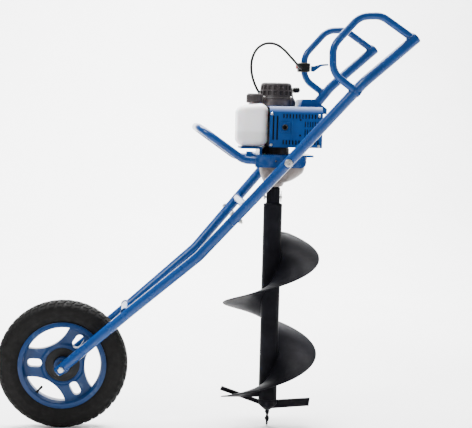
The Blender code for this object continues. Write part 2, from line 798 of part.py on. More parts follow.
def gear_outline(teeth, phase):
    """Straight-flanked tooth outline, a tooth centred on the phase angle."""
    pitch_r = MODULE * teeth / 2
    root = pitch_r - 1.25 * MODULE
    tip = pitch_r + 0.95 * MODULE
    step = 2 * math.pi / teeth
    spread = min(1.0, 0.9 + 0.002 * teeth)
    points = []
    for k in range(teeth):
        centre = phase + k * step
        for radius, share in ((root, -0.34 * spread), (tip, -0.125), (tip, 0.125), (root, 0.34 * spread)):
            angle = centre + share * step
            points.append((radius * math.cos(angle), radius * math.sin(angle)))
    return points


def make_gear(name, teeth, phase, centre_x, bore, low, high):
    """Spur gear of the shared module, with a round bore unless it is part of its shaft."""
    outline = [(x + centre_x, y) for x, y in gear_outline(teeth, phase)]
    gear = prism(name, outline, low, high, "dark_steel")
    if bore == 0.0:
        return gear
    return cut(gear, cylinder("bore", bore, (centre_x, 0, low - 0.01), (centre_x, 0, high + 0.01), sides=16))


def make_layshaft():
    """Layshaft cut with its pinion, and the large wheel on it."""
    half_step = math.pi / LAY_WHEEL_TEETH
    shaft = cylinder("layshaft", 0.006, (LAY_X, 0, 0.8305), (LAY_X, 0, 0.8795), "dark_steel", 16)
    weld(shaft, make_gear("pinion", LAY_PINION_TEETH, math.pi, LAY_X, 0.0, 0.8390, 0.8560))
    wheel = make_gear("layshaft_wheel", LAY_WHEEL_TEETH, math.pi + half_step, LAY_X,
                      0.006 + GAP, 0.8590, 0.8690)
    return [shaft, wheel]


def make_output():
    """Output gear and shaft."""
    half_step = math.pi / OUTPUT_TEETH
    shaft = cylinder("output_shaft", SHAFT_R, (0, 0, 0.7370), (0, 0, 0.8545), "dark_steel")
    cut(shaft, cylinder("pin_bore", 0.0043, (-0.03, 0, PIN_Z), (0.03, 0, PIN_Z), sides=12))
    gear = make_gear("output_gear", OUTPUT_TEETH, half_step, 0.0, SHAFT_R + GAP, 0.8400, 0.8520)
    return [shaft, gear]


def make_crank():
    """Crankshaft with the drive pinion and clutch drum, and the flywheel."""
    profile = [(0.0, 0.8575), (0.006, 0.8575), (0.006, 0.886), (0.0075, 0.886), (0.0075, 0.946),
               (0.021, 0.946), (0.021, 0.960), (0.008, 0.960), (0.008, 0.990), (0.021, 0.990),
               (0.021, 1.004), (0.0075, 1.004), (0.0075, 1.064), (0.0, 1.064)]
    shaft = lathe("crankshaft", profile, "dark_steel", sides=14)
    weld(shaft, make_gear("pinion", CRANK_TEETH, 0.0, 0.0, 0.0, 0.8580, 0.8700))
    drum = [(0.0060, 0.8935), (0.036, 0.8935), (0.036, 0.9080), (0.033, 0.9080), (0.033, 0.8965),
            (0.0060, 0.8965)]
    weld(shaft, lathe("drum", drum, "dark_steel", sides=24))
    parts = [shaft]
    blades = []
    count = 14
    for k in range(count):
        for radius, share in ((0.044, -0.32), (0.0545, -0.22), (0.0545, -0.10), (0.044, 0.0)):
            angle = 2 * math.pi * (k + share) / count
            blades.append((radius * math.cos(angle), radius * math.sin(angle)))
    flywheel = prism("flywheel", blades, 1.0435, 1.0565, "cast_aluminium")
    cut(flywheel, cylinder("bore", 0.0078, (0, 0, 1.03), (0, 0, 1.07), sides=16))
    parts.append(flywheel)
    return parts


def make_crankcase():
    """Clutch housing and crankcase."""
    housing = [(0.0165, PLATE_Z1 + GAP), (0.0470, PLATE_Z1 + GAP), (0.0470, 0.905), (0.043, 0.913),
               (0.009, 0.913), (0.009, 0.9095), (0.0385, 0.9095), (0.0385, PLATE_Z1 + 0.0020),
               (0.0165, PLATE_Z1 + 0.0020)]
    clutch = lathe("clutch_housing", housing, "grey_plastic", sides=24)
    case = block("crankcase", (-0.038, -0.040, ENGINE_Z0), (0.038, 0.040, ENGINE_Z1), "cast_aluminium")
    bore = [(0.0, 0.90), (0.0078, 0.90), (0.0078, 0.930), (0.0235, 0.930), (0.0235, 1.020),
            (0.0078, 1.020), (0.0078, 1.05), (0.0, 1.05)]
    cut(case, lathe("bore", bore, "cast_aluminium", sides=20))
    return [clutch, case]


def make_cylinder():
    """Finned cylinder lying towards the handles, with plug and plug cap."""
    profile = [(0.0, 0.0383), (0.026, 0.0383)]
    for k in range(5):
        x = 0.047 + 0.015 * k
        profile += [(0.026, x), (0.042, x), (0.042, x + 0.004), (0.026, x + 0.004)]
    profile += [(0.026, 0.118), (0.0, 0.118)]
    parts = [lathe("cylinder", profile, "cast_aluminium", 'X', (0, 0, BORE_Z), sides=16)]
    plug = [(0.0, 0.1183), (0.0095, 0.1183), (0.0095, 0.126), (0.005, 0.126), (0.005, 0.139), (0.0, 0.139)]
    parts.append(lathe("spark_plug", plug, "zinc_steel", 'X', (0, 0, BORE_Z), sides=16))
    cap = [(0.0, 0.157), (0.007, 0.157), (0.0095, 0.150), (0.0095, 0.1275), (0.0053, 0.1275),
           (0.0053, 0.1395), (0.0, 0.1395)]
    parts.append(lathe("plug_cap", cap, "black_plastic", 'X', (0, 0, BORE_Z), sides=16))
    return parts


def make_muffler():
    """Muffler beside the cylinder, its outlet reaching the shroud's boss."""
    body = block("muffler", (-0.014, -0.108, 0.940), (0.092, -0.052, 1.010), "dark_steel", 0.008)
    weld(body, cylinder("port", 0.010, (0.070, -0.056, BORE_Z), (0.070, -0.0425, BORE_Z), sides=16))
    weld(body, cylinder("outlet", 0.0085, (0.014, -0.100, BORE_Z), (0.014, -0.1235, BORE_Z), sides=20))
    cut(body, cylinder("bore", 0.0065, (0.014, -0.100, BORE_Z), (0.014, -0.13, BORE_Z), sides=16))
    shade_smooth(body)
    return body


def make_shroud():
    """Blue cooling shroud with slots, and the sloping air guide above it."""
    t = SHEET
    y0, y1 = SHROUD_Y0, SHROUD_Y1
    outline = [(y0, ENGINE_Z0), (y0, 1.021), (y0 + 0.018, 1.039), (y1, 1.039), (y1, ENGINE_Z0)]
    shroud = prism("engine_shroud", outline, SHROUD_X0, SHROUD_X1, "blue_plastic", 'X')
    inside = [(y0 + t, 0.90), (y0 + t, 1.020), (y0 + 0.019, 1.039 - t), (y1 + 0.01, 1.039 - t),
              (y1 + 0.01, 0.90)]
    cut(shroud, prism("inside", inside, SHROUD_X0 - 0.01, SHROUD_X1 - t, "blue_plastic", 'X'))
    cut(shroud, cylinder("case_gap", FAN_R + 0.002, (0, 0, 1.030), (0, 0, 1.05)))
    boss = block("boss", (-0.001, y0 - 0.0045, 0.960), (0.029, y0 + 0.001, 0.990))
    weld(shroud, boss)
    cut(shroud, cylinder("outlet", 0.0095, (0.014, y0 - 0.02, BORE_Z), (0.014, y0 + 0.02, BORE_Z), sides=20))
    cut(shroud, cylinder("plug_gap", 0.0125, (0.12, 0, BORE_Z), (0.14, 0, BORE_Z)))
    for x in (-0.022, -0.010):
        cut(shroud, block("slot", (x - 0.0028, y0 - 0.01, 0.934), (x + 0.0028, y0 + 0.01, 1.008)))
    for z in (0.9985, 0.951):
        cut(shroud, cylinder("hole", 0.0035, (0.062, y0 - 0.01, z), (0.062, y0 + 0.01, z), sides=12))
    for k in range(7):
        x = 0.018 + 0.0155 * k
        cut(shroud, block("slot", (x - 0.0022, y0 - 0.01, 0.922), (x + 0.0022, y0 + 0.01, 0.936)))
        cut(shroud, block("slot", (x - 0.0022, y0 - 0.01, 1.003), (x + 0.0022, y0 + 0.01, 1.016)))
    guide_out = [(0.066, 1.0380), (0.072, 1.062), (0.112, 1.063), (0.150, 1.034), (0.150, 1.018),
                 (SHROUD_X1 - 0.001, 1.018), (SHROUD_X1 - 0.001, 1.0380)]
    guide = prism("air_guide", guide_out, -0.080, 0.046, "blue_plastic", 'Y')
    guide_in = [(0.0695, 1.0405), (0.0745, 1.0595), (0.111, 1.0605), (0.1475, 1.033), (0.1475, 1.010),
                (0.134, 1.010), (0.134, 1.0405)]
    cut(guide, prism("inside", guide_in, -0.0775, 0.0435, "blue_plastic", 'Y'))
    weld(shroud, guide)
    shade_smooth(shroud, 25.0)
    return shroud


def make_starter():
    """Fan housing, ribbed starter housing and the recoil pulley."""
    fan = [(0.009, FAN_Z0), (FAN_R - 0.004, FAN_Z0), (FAN_R, FAN_Z0 + 0.004), (FAN_R, FAN_Z1),
           (FAN_R - 0.003, FAN_Z1), (FAN_R - 0.003, FAN_Z0 + 0.003), (0.009, FAN_Z0 + 0.003)]
    parts = [lathe("fan_housing", fan, "cast_aluminium", sides=32)]
    z = FAN_Z1 + GAP
    shell = [(0.0, STARTER_TOP), (0.042, STARTER_TOP), (0.0485, 1.1075, 1), (0.0560, 1.066, 1),
             (0.058, z, 1), (0.0540, z), (0.0520, 1.067), (0.0445, 1.1065),
             (0.040, STARTER_TOP - 0.003), (0.0, STARTER_TOP - 0.003)]

    def rib(angle):
        return 0.0016 if round(angle / (2 * math.pi) * 48) % 2 == 0 else 0.0

    housing = lathe("starter_housing", shell, "grey_plastic", sides=48, ripple=rib)
    cut(housing, cylinder("cord_hole", 0.0035, (0.02, CORD_Y, CORD_Z), (0.07, CORD_Y, CORD_Z), sides=12))
    parts.append(housing)
    return parts


def make_recoil_pulley():
    """Pulley that winds the starter cord."""
    groove = [(0.0, 1.0860), (0.028, 1.0860), (0.028, 1.0890), (0.0240, 1.0890), (0.0240, 1.0950),
              (0.028, 1.0950), (0.028, 1.0980), (0.0, 1.0980)]
    return lathe("recoil_pulley", groove, "black_plastic", sides=24)


def make_starter_pull():
    """Pull handle and the stretch of cord that follows it out."""
    y = CORD_Y
    cord = cylinder("starter_cord", 0.0017, (-0.035, y, CORD_Z), (0.060, y, CORD_Z), "cable_rubber", 10)
    grip = block("starter_handle", (0.0545, y - 0.027, CORD_Z - 0.009), (0.078, y + 0.027, CORD_Z + 0.009),
                 "black_plastic", 0.007)
    cut(grip, cylinder("bore", 0.0020, (0.05, y, CORD_Z), (0.0605, y, CORD_Z), sides=12))
    shade_smooth(grip)
    return [cord, grip]


def make_tank():
    """Fuel tank notched around the crankcase."""
    tank = block("fuel_tank", (-0.130, -0.106, 0.9133), (-0.034, 0.006, 1.046), "tank_plastic", 0.026, 4)
    cut(tank, block("notch", (-0.042, -0.043, 0.90), (0.0, 0.05, 1.06)))
    weld(tank, cylinder("neck", 0.018, (CAP_X, CAP_Y, 1.040), (CAP_X, CAP_Y, 1.054)))
    cut(tank, cylinder("fan_gap", FAN_R + 0.003, (0, 0, 1.034), (0, 0, 1.06)))
    shade_smooth(tank)
    return tank


def make_fuel_cap():
    """Knurled fuel cap, hollow below."""
    z = 1.0475
    profile = [(0.0, 1.077), (0.021, 1.077), (0.0250, 1.070, 1), (0.0250, z, 1), (0.0183, z),
               (0.0183, 1.0545), (0.0, 1.0545)]

    def knurl(angle):
        return 0.0008 if round(angle / (2 * math.pi) * 40) % 2 else 0.0

    return lathe("fuel_cap", profile, "grey_plastic", 'Z', (CAP_X, CAP_Y, 0), sides=40,
                 ripple=knurl)


def make_intake():
    """Carburettor, air filter cover and the choke lever beside it."""
    carb = block("carburettor", (0.020, 0.0443, 0.952), (0.062, 0.0868, 0.994), "cast_aluminium", 0.004)
    filter_cover = block("air_filter_cover", (0.002, 0.0871, 0.930), (0.090, 0.1290, 1.012),
                         "black_plastic", 0.010, 3)
    return [carb, filter_cover]


def make_choke():
    """Choke lever pivoted on the side of the carburettor."""
    lever = block("choke_lever", (0.0623, 0.060, 0.969), (0.0655, 0.068, 1.000), "black_plastic")
    return lever


# ================================================================ auger bit
def make_bit_tube():
    """Bit tube with the socket that takes the output shaft."""
    tube = [(BIT_BORE, BIT_FOOT), (BIT_R, BIT_FOOT), (BIT_R, BIT_TOP), (0.0200, BIT_TOP),
            (0.0200, BIT_TOP - 0.004), (BIT_BORE, BIT_TOP - 0.004)]
    socket = [(SHAFT_R + GAP, BIT_TOP - 0.016), (COUPLER_R, BIT_TOP - 0.016), (COUPLER_R, 0.7800),
              (0.0205, 0.7835), (SHAFT_R + GAP, 0.7835)]
    body = lathe("bit_tube", tube, "black_enamel", sides=24)
    coupler = lathe("bit_socket", socket, "black_enamel", sides=24)
    cut(coupler, cylinder("pin_bore", 0.0043, (-0.03, 0, PIN_Z), (0.03, 0, PIN_Z), sides=12))
    weld(body, coupler)
    shade_smooth(body)
    pin = cylinder("coupling_pin", 0.004, (-0.0265, 0, PIN_Z), (0.0290, 0, PIN_Z), "zinc_steel", 12)
    weld(pin, cylinder("head", 0.0075, (-0.0305, 0, PIN_Z), (-0.0260, 0, PIN_Z), sides=16))
    clip_route = rounded_path([(0.0262, 0, PIN_Z + 0.020), (0.0262, 0, PIN_Z - 0.016),
                               (0.0262, 0.012, PIN_Z - 0.016), (0.0262, 0.012, PIN_Z + 0.010)], 0.005)
    clip_length = path_frames(clip_route)[-1][0]
    outline = ((0.0, 0.0), (0.0, 0.0011), (clip_length, 0.0011), (clip_length, 0.0))
    weld(pin, swept("clip", clip_route, outline, "zinc_steel", sides=8))
    shade_smooth(pin)
    return [body, pin]


def make_flighting():
    """Right-hand screw blade wound around the bit tube."""
    bm = bmesh.new()
    steps = 58
    rings = []
    for i in range(steps + 1):
        angle = FLIGHT_END + (FLIGHT_START - FLIGHT_END) * i / steps
        z = FLIGHT_Z + FLIGHT_PITCH * angle / (2 * math.pi)
        grow = min(1.0, (steps - i) / 4.0 + 0.62)
        ring = []
        for radius, rise in ((BIT_R + GAP, 0.0), (FLIGHT_R * grow, 0.0),
                             (FLIGHT_R * grow, FLIGHT_THICK), (BIT_R + GAP, FLIGHT_THICK)):
            ring.append(bm.verts.new((radius * math.cos(angle), radius * math.sin(angle), z + rise)))
        rings.append(ring)
    bridge_rings(bm, rings, False)
    return to_object("flighting", bm, "black_enamel", smooth=True)


def make_cutters():
    """Cutting head with its two blades, and the centre point."""
    foot = [(0.0, 0.052), (0.009, 0.052), (0.029, 0.0700), (0.0297, 0.0902), (0.0, 0.0902)]
    head = lathe("cutting_head", foot, "black_enamel", sides=28)
    screw = [(0.0, 0.0), (0.0035, 0.003), (0.0068, 0.011), (0.0068, 0.016), (0.0042, 0.0235),
             (0.0070, 0.030), (0.0070, 0.036), (0.0045, 0.0430), (0.0080, 0.0505), (0.0, 0.0517)]
    point = lathe("centre_point", screw, "black_enamel", sides=16)
    right = [(0.010, 0.0560), (0.137, 0.0640), (0.140, 0.0900), (0.010, 0.0830)]
    weld(head, prism("blade", right, -0.004, 0.004, "black_enamel", 'Y'))
    left = [(-0.004, 0.0600), (-0.004, 0.0745), (-0.150, 0.1290), (-0.156, 0.1170)]
    weld(head, prism("blade", left, 0.002, 0.010, "black_enamel", 'Y'))
    shade_smooth(head)
    return [head, point]


# ================================================================ controls
THROTTLE_PLACE = (0.1265, LOOP_Y, 1.176)
CABLE_R = 0.0042
CABLE_ROUTE = (
    (0.036, 0.078, 0.9957), (0.035, 0.078, 1.008), (0.014, 0.081, 1.032), (-0.020, 0.085, 1.056),
    (-0.045, 0.088, 1.085), (-0.062, 0.093, 1.120), (-0.070, 0.099, 1.158), (-0.066, 0.108, 1.196),
    (-0.048, 0.120, 1.228), (-0.018, 0.134, 1.245), (0.016, 0.150, 1.244), (0.046, 0.167, 1.228),
    (0.072, 0.185, 1.206), (0.094, 0.204, 1.187), (0.108, 0.219, 1.1755), (0.1165, 0.2285, 1.172),
)


def make_controls():
    """Throttle body clamped on the right loop, and its cable."""
    x, y, z = THROTTLE_PLACE
    body = block("throttle_body", (x - 0.020, y - 0.017, z - 0.016), (x + 0.022, y + 0.017, z + 0.016),
                 "black_plastic", 0.004)
    route = rounded_path([(lx, LOOP_Y, lz) for lx, lz in LOOP_CORNERS], LOOP_BEND_R)
    length = path_frames(route)[-1][0]
    outline = ((0.0, 0.0), (0.0, LOOP_R + GAP), (length, LOOP_R + GAP), (length, 0.0))
    cut(body, swept("cutter", route, outline, "blue_paint", sides=16))
    keep_largest(body)
    shade_smooth(body)
    points = [Vector(p) for p in CABLE_ROUTE]
    smooth = []
    padded = [points[0] * 2 - points[1]] + points + [points[-1] * 2 - points[-2]]
    for p0, p1, p2, p3 in zip(padded, padded[1:], padded[2:], padded[3:]):
        smooth.append(catmull(p0, p1, p2, p3, 0.0))
        smooth.append(catmull(p0, p1, p2, p3, 0.5))
    smooth.append(points[-1])
    length = path_frames(smooth)[-1][0]
    outline = ((0.0, 0.0), (0.0, CABLE_R), (length, CABLE_R), (length, 0.0))
    cable = swept("throttle_cable", smooth, outline, "cable_rubber", sides=8)
    return [body, cable]


def catmull(p0, p1, p2, p3, share):
    """Point on a Catmull-Rom curve between p1 and p2."""
    t, t2, t3 = share, share * share, share ** 3
    return 0.5 * (2 * p1 + (p2 - p0) * t + (2 * p0 - 5 * p1 + 4 * p2 - p3) * t2
                  + (3 * p1 - p0 - 3 * p2 + p3) * t3)


def make_throttle_lever():
    """Finger lever that swings inside the right loop."""
    x, y, z = THROTTLE_PLACE
    outline = [(x + 0.0265, z - 0.012), (x + 0.036, z - 0.014), (x + 0.062, z + 0.006),
               (x + 0.086, z + 0.009), (x + 0.086, z + 0.015), (x + 0.060, z + 0.013),
               (x + 0.036, z + 0.006), (x + 0.0265, z + 0.006)]
    return prism("throttle_lever", outline, y - 0.007, y + 0.007, "blue_plastic", 'Y')


def make_stop_switch():
    """Red slide switch on top of the throttle body."""
    x, y, z = THROTTLE_PLACE
    return block("stop_switch", (x - 0.0262, y - 0.006, z - 0.005), (x - 0.0203, y + 0.006, z + 0.009),
                 "red_plastic", 0.0015)


# ================================================================ main
def put_on_stage(obj, origin):
    """Move the mesh so its origin lies on the given point, then place it."""
    point = Vector(origin)
    obj.data.transform(Matrix.Translation(-point))
    obj.location = point + Vector((STAGE_X, 0.0, 0.0))


def make_carriage():
    """Everything that tilts on the two pivot bolts and doesn't turn by itself."""
    parts = [make_rail(label, side) for label, side in SIDES]
    parts.append(make_guard_bar())
    parts.append(make_mount_plate())
    parts.extend(make_gearbox())
    parts.extend(make_crankcase())
    parts.extend(make_cylinder())
    parts.append(make_muffler())
    parts.append(make_shroud())
    parts.extend(make_starter())
    parts.append(make_tank())
    parts.extend(make_intake())
    return parts


def main():
    clear_scene()
    x, y, z = THROTTLE_PLACE
    groups = (
        ((0.0, 0.0, 0.0), make_frame() + [make_axle()] + make_controls()),
        ((WHEEL_X, 0.0, WHEEL_R), make_wheel()),
        ((PIVOT_X, 0.0, PIVOT_Z), make_carriage()),
        ((0.0, 0.0, BIT_TOP), make_output() + make_bit_tube() + [make_flighting()] + make_cutters()),
        ((LAY_X, 0.0, CASE_Z1), make_layshaft()),
        ((0.0, 0.0, ENGINE_Z0), make_crank()),
        ((0.0, 0.0, CORD_Z), [make_recoil_pulley()] + make_starter_pull()),
        ((CAP_X, CAP_Y, 1.06), [make_fuel_cap()]),
        ((0.0640, 0.064, 0.973), [make_choke()]),
        ((x + 0.0295, y, z - 0.004), [make_throttle_lever()]),
        ((x - 0.0232, y, z), [make_stop_switch()]),
    )
    for origin, parts in groups:
        for obj in parts:
            put_on_stage(obj, origin)


main()
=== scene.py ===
"""Finished look of the petrol earth auger on its one-wheel push frame.

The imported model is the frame; every shape here is laid out from it, in metres.
Shapes are drawn from the auger's own axis (x = 0, y = 0) and the ground (z = 0);
place() moves them onto the frame's own axis.
"""
import json
import math

import bmesh
import bpy
from mathutils import Matrix, Vector, noise


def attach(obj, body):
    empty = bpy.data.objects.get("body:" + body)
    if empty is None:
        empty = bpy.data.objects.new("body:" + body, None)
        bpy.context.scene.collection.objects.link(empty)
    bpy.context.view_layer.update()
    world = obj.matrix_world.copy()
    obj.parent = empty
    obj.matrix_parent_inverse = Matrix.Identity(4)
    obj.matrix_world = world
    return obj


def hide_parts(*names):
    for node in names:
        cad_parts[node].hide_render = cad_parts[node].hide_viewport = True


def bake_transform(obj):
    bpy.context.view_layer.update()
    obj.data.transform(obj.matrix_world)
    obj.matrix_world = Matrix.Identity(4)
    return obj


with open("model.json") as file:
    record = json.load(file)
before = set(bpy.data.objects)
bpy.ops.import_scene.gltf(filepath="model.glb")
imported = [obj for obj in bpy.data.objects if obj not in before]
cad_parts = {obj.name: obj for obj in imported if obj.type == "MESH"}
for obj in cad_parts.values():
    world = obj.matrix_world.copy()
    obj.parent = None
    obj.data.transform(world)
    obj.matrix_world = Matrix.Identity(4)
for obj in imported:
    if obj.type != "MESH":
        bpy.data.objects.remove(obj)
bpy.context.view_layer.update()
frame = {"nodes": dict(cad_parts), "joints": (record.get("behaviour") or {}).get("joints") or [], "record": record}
JOINTS = {joint["name"]: joint for joint in frame["joints"]}

AXIS_X = JOINTS["auger_spin"]["pos_m"][0]
WHEEL_X = JOINTS["wheel_spin"]["pos_m"][0] - AXIS_X
WHEEL_R = JOINTS["wheel_spin"]["pos_m"][2]
HUB = (WHEEL_X, 0.0, WHEEL_R)
PIVOT_X = JOINTS["carriage_tilt"]["pos_m"][0] - AXIS_X
PIVOT_Z = JOINTS["carriage_tilt"]["pos_m"][2]
SIDES = (("left", -1.0), ("right", 1.0))

# ---------------------------------------------------------------- frame sizes
ARM_R = 0.016
ARM_BORE = 0.0138
ARM_FOOT = (-0.676, 0.066, 0.194)
ARM_STRAIGHT_END = (-0.460, 0.066, 0.381)
ARM_BEND = (-0.242, 0.103, 0.570)
ARM_JOINT = (-0.146, 0.133, 0.681)
PIVOT = (PIVOT_X, 0.183, PIVOT_Z)
ARM_HANDLE_BEND = (0.223, 0.250, 1.112)
ARM_TIP = (0.374, 0.257, 1.246)
ARM_BEND_R = 0.120
BOLT_HOLE_R = 0.0063
AXLE_SEAT_Y, PIVOT_SEAT_Y = 0.079, 0.1945
GAP = 0.0003
LOOP_R = 0.011
LOOP_Y = 0.252
LOOP_CORNERS = ((0.214, 1.078), (0.131, 1.137), (0.128, 1.215),
                (0.205, 1.303), (0.268, 1.307), (0.376, 1.236))
LOOP_BEND_R = 0.060
CROSS_TUBES = {"lower_cross_tube": (-0.466, 0.386, 0.066), "upper_cross_tube": (-0.103, 0.733, 0.145)}
CROSS_R = 0.0125
RAIL_OUT, RAIL_IN = 0.1475, 0.1195
RAIL_Z0, RAIL_Z1 = 0.852, 0.890
RAIL_X0, RAIL_X1 = -0.075, 0.079
GUARD_R = 0.012
BORE_Z = 0.975
CAP_X, CAP_Y = -0.0745, -0.0520
CORD_Y, CORD_Z = 0.0265, 1.092
THROTTLE = (0.1265, LOOP_Y, 1.176)
GEAR_REACH = 0.048
PLATE_TOP = 0.9133
PIN_Z = 0.750
BIT_R = 0.030
BIT_FOOT, BIT_TOP = 0.0905, 0.730
FLIGHT_R, FLIGHT_PITCH, FLIGHT_Z, FLIGHT_THICK = 0.154, 0.312, 0.562, 0.004
FLIGHT_START, FLIGHT_END = math.radians(78.0), math.radians(-540.0)
CABLE_R = 0.0042
CABLE_ROUTE = (
    (0.036, 0.078, 0.9957), (0.035, 0.078, 1.008), (0.014, 0.081, 1.032), (-0.020, 0.085, 1.056),
    (-0.045, 0.088, 1.085), (-0.062, 0.093, 1.120), (-0.070, 0.099, 1.158), (-0.066, 0.108, 1.196),
    (-0.048, 0.120, 1.228), (-0.018, 0.134, 1.245), (0.016, 0.150, 1.244), (0.046, 0.167, 1.228),
    (0.072, 0.185, 1.206), (0.094, 0.204, 1.187), (0.108, 0.219, 1.1755), (0.1165, 0.2285, 1.172),
)


# ================================================================ materials
class Nodes:
    """Small helper that wires a Principled material from noise and ramps."""

    def __init__(self, name):
        self.material = bpy.data.materials.new(name)
        self.material.use_nodes = True
        self.tree = self.material.node_tree
        self.shader = self.tree.nodes["Principled BSDF"]
        self.where = self.add("ShaderNodeTexCoord", output="Object")

    def add(self, kind, inputs=None, output=0, **settings):
        """New node whose inputs are plain values or links; gives one output."""
        node = self.tree.nodes.new(kind)
        for key, value in settings.items():
            setattr(node, key, value)
        for key, value in (inputs or {}).items():
            if isinstance(value, bpy.types.NodeSocket):
                self.tree.links.new(value, node.inputs[key])
            else:
                node.inputs[key].default_value = value
        return node.outputs[output]

    def stretched(self, *scale):
        """Coordinates scaled by different amounts along the axes."""
        return self.add("ShaderNodeMapping", {"Vector": self.where, "Scale": scale})

    def noise(self, scale, detail=4.0, rough=0.55, vector=None):
        return self.add("ShaderNodeTexNoise", {"Vector": vector or self.where, "Scale": scale,
                                               "Detail": detail, "Roughness": rough})

    def cells(self, scale):
        return self.add("ShaderNodeTexVoronoi", {"Vector": self.where, "Scale": scale})

    def ramp(self, source, low, high, start=0.0, end=1.0):
        """Map a value from low..high onto start..end, clamped."""
        return self.add("ShaderNodeMapRange", {"Value": source, "From Min": low, "From Max": high,
                                               "To Min": start, "To Max": end})

    def maths(self, operation, first, second):
        return self.add("ShaderNodeMath", {0: first, 1: second}, operation=operation, use_clamp=True)

    def mix(self, share, first, second):
        """Blend two colours, each a tuple or a socket, by a share."""
        first, second = ((*c, 1.0) if isinstance(c, tuple) else c for c in (first, second))
        return self.add("ShaderNodeMix", {"Factor": share, 6: first, 7: second}, 2, data_type='RGBA')

    def height_of(self):
        """Height above the ground."""
        return self.add("ShaderNodeSeparateXYZ", {"Vector": self.where}, "Z")

    def edges(self, low=0.52, high=0.60):
        """How far a point lies on an outer edge."""
        return self.ramp(self.add("ShaderNodeNewGeometry", output="Pointiness"), low, high)

    def bump(self, height, strength, distance, before=None):
        inputs = {"Height": height, "Strength": strength, "Distance": distance}
        if before is not None:
            inputs["Normal"] = before
        return self.add("ShaderNodeBump", inputs)

    def finish(self, colour, rough, normal, **sockets):
        for source, key in ((colour, "Base Color"), (rough, "Roughness"), (normal, "Normal")):
            self.tree.links.new(source, self.shader.inputs[key])
        for key, value in sockets.items():
            self.shader.inputs[key.replace("_", " ")].default_value = value
        return self.material


def paint(name, colour, deep, gloss, coat):
    """Sprayed enamel: slight orange peel, tone drift, dust and rubbed edges."""
    n = Nodes(name)
    tone = n.mix(n.ramp(n.noise(7.0, 3.0), 0.35, 0.65), deep, colour)
    dust = n.ramp(n.noise(38.0, 6.0, 0.7), 0.58, 0.80, 0.0, 0.05)
    tone = n.mix(dust, tone, (0.16, 0.20, 0.28))
    scuffs = n.ramp(n.noise(90.0, 5.0, 0.75, n.stretched(1.0, 1.0, 0.25)), 0.66, 0.74)
    worn = n.maths('MULTIPLY', n.edges(0.60, 0.72), n.ramp(n.noise(60.0, 5.0), 0.45, 0.70, 0.0, 0.14))
    tone = n.mix(worn, tone, (0.20, 0.27, 0.38))
    rough = n.maths('ADD', n.ramp(n.noise(24.0, 5.0), 0.3, 0.7, gloss - 0.02, gloss + 0.04),
                    n.maths('MULTIPLY', scuffs, 0.08))
    peel = n.bump(n.noise(420.0, 2.0), 0.045, 0.0006)
    normal = n.bump(n.noise(14.0, 2.0), 0.02, 0.002, peel)
    return n.finish(tone, rough, normal, Coat_Weight=coat, Coat_Roughness=0.12, Specular_IOR_Level=0.24)


def moulded(name, colour, deep, rough_mid, grain=900.0, bump=0.10, coat=0.0):
    """Moulded plastic: fine spark-eroded grain, faint mottling, dust and a painted highlight on its outer edges.
    """
    n = Nodes(name)
    tone = n.mix(n.ramp(n.noise(14.0, 4.0), 0.35, 0.65), deep, colour)
    dust = n.ramp(n.noise(55.0, 6.0, 0.7), 0.58, 0.80, 0.0, 0.09)
    tone = n.mix(dust, tone, (0.11, 0.105, 0.095))
    # Painted highlight: outer edges blend towards a lighter copy of the colour, as if light caught them.
    tone = n.mix(n.ramp(n.edges(0.56, 0.68), 0.0, 1.0, 0.0, 0.12), tone,
                 tuple(min(1.0, c * 1.9 + 0.006) for c in colour))
    rough = n.ramp(n.noise(40.0, 4.0), 0.3, 0.7, rough_mid - 0.07, rough_mid + 0.09)
    normal = n.bump(n.cells(grain), bump, 0.0004)
    return n.finish(tone, rough, normal, Coat_Weight=coat, Specular_IOR_Level=0.18)


def cast_metal(name, colour, deep, rough_mid):
    """Sand-cast or die-cast metal with pits, flow marks, oily shadows and a painted highlight along its edges."""
    n = Nodes(name)
    tone = n.mix(n.ramp(n.noise(22.0, 6.0, 0.65), 0.35, 0.68), deep, colour)
    pits = n.ramp(n.cells(520.0), 0.05, 0.35)
    stain = n.ramp(n.noise(9.0, 5.0, 0.7), 0.52, 0.72, 0.0, 0.40)
    tone = n.mix(stain, tone, tuple(c * 0.42 for c in deep))
    # Painted highlight: outer edges blend towards a lighter copy of the colour, as if light caught them.
    tone = n.mix(n.ramp(n.edges(), 0.0, 1.0, 0.0, 0.35), tone, tuple(min(1.0, c * 1.6) for c in colour))
    rough = n.ramp(n.noise(70.0, 5.0), 0.3, 0.7, rough_mid - 0.08, rough_mid + 0.12)
    sand = n.bump(n.noise(700.0, 3.0, 0.6), 0.22, 0.0006)
    normal = n.bump(pits, 0.12, 0.0004, sand)
    return n.finish(tone, rough, normal, Metallic=0.85)


def plated(name, colour, deep, rough_mid):
    """Zinc-plated or oiled steel: turning marks, cloudy patches."""
    n = Nodes(name)
    tone = n.mix(n.ramp(n.noise(120.0, 5.0, 0.7), 0.3, 0.7), deep, colour)
    stain = n.ramp(n.noise(45.0, 4.0), 0.58, 0.76, 0.0, 0.30)
    tone = n.mix(stain, tone, (0.20, 0.16, 0.11))
    marks = n.noise(160.0, 3.0, 0.6, n.stretched(1.0, 7.0, 1.0))
    rough = n.ramp(marks, 0.3, 0.7, rough_mid - 0.08, rough_mid + 0.14)
    return n.finish(tone, rough, n.bump(marks, 0.10, 0.0003), Metallic=1.0)


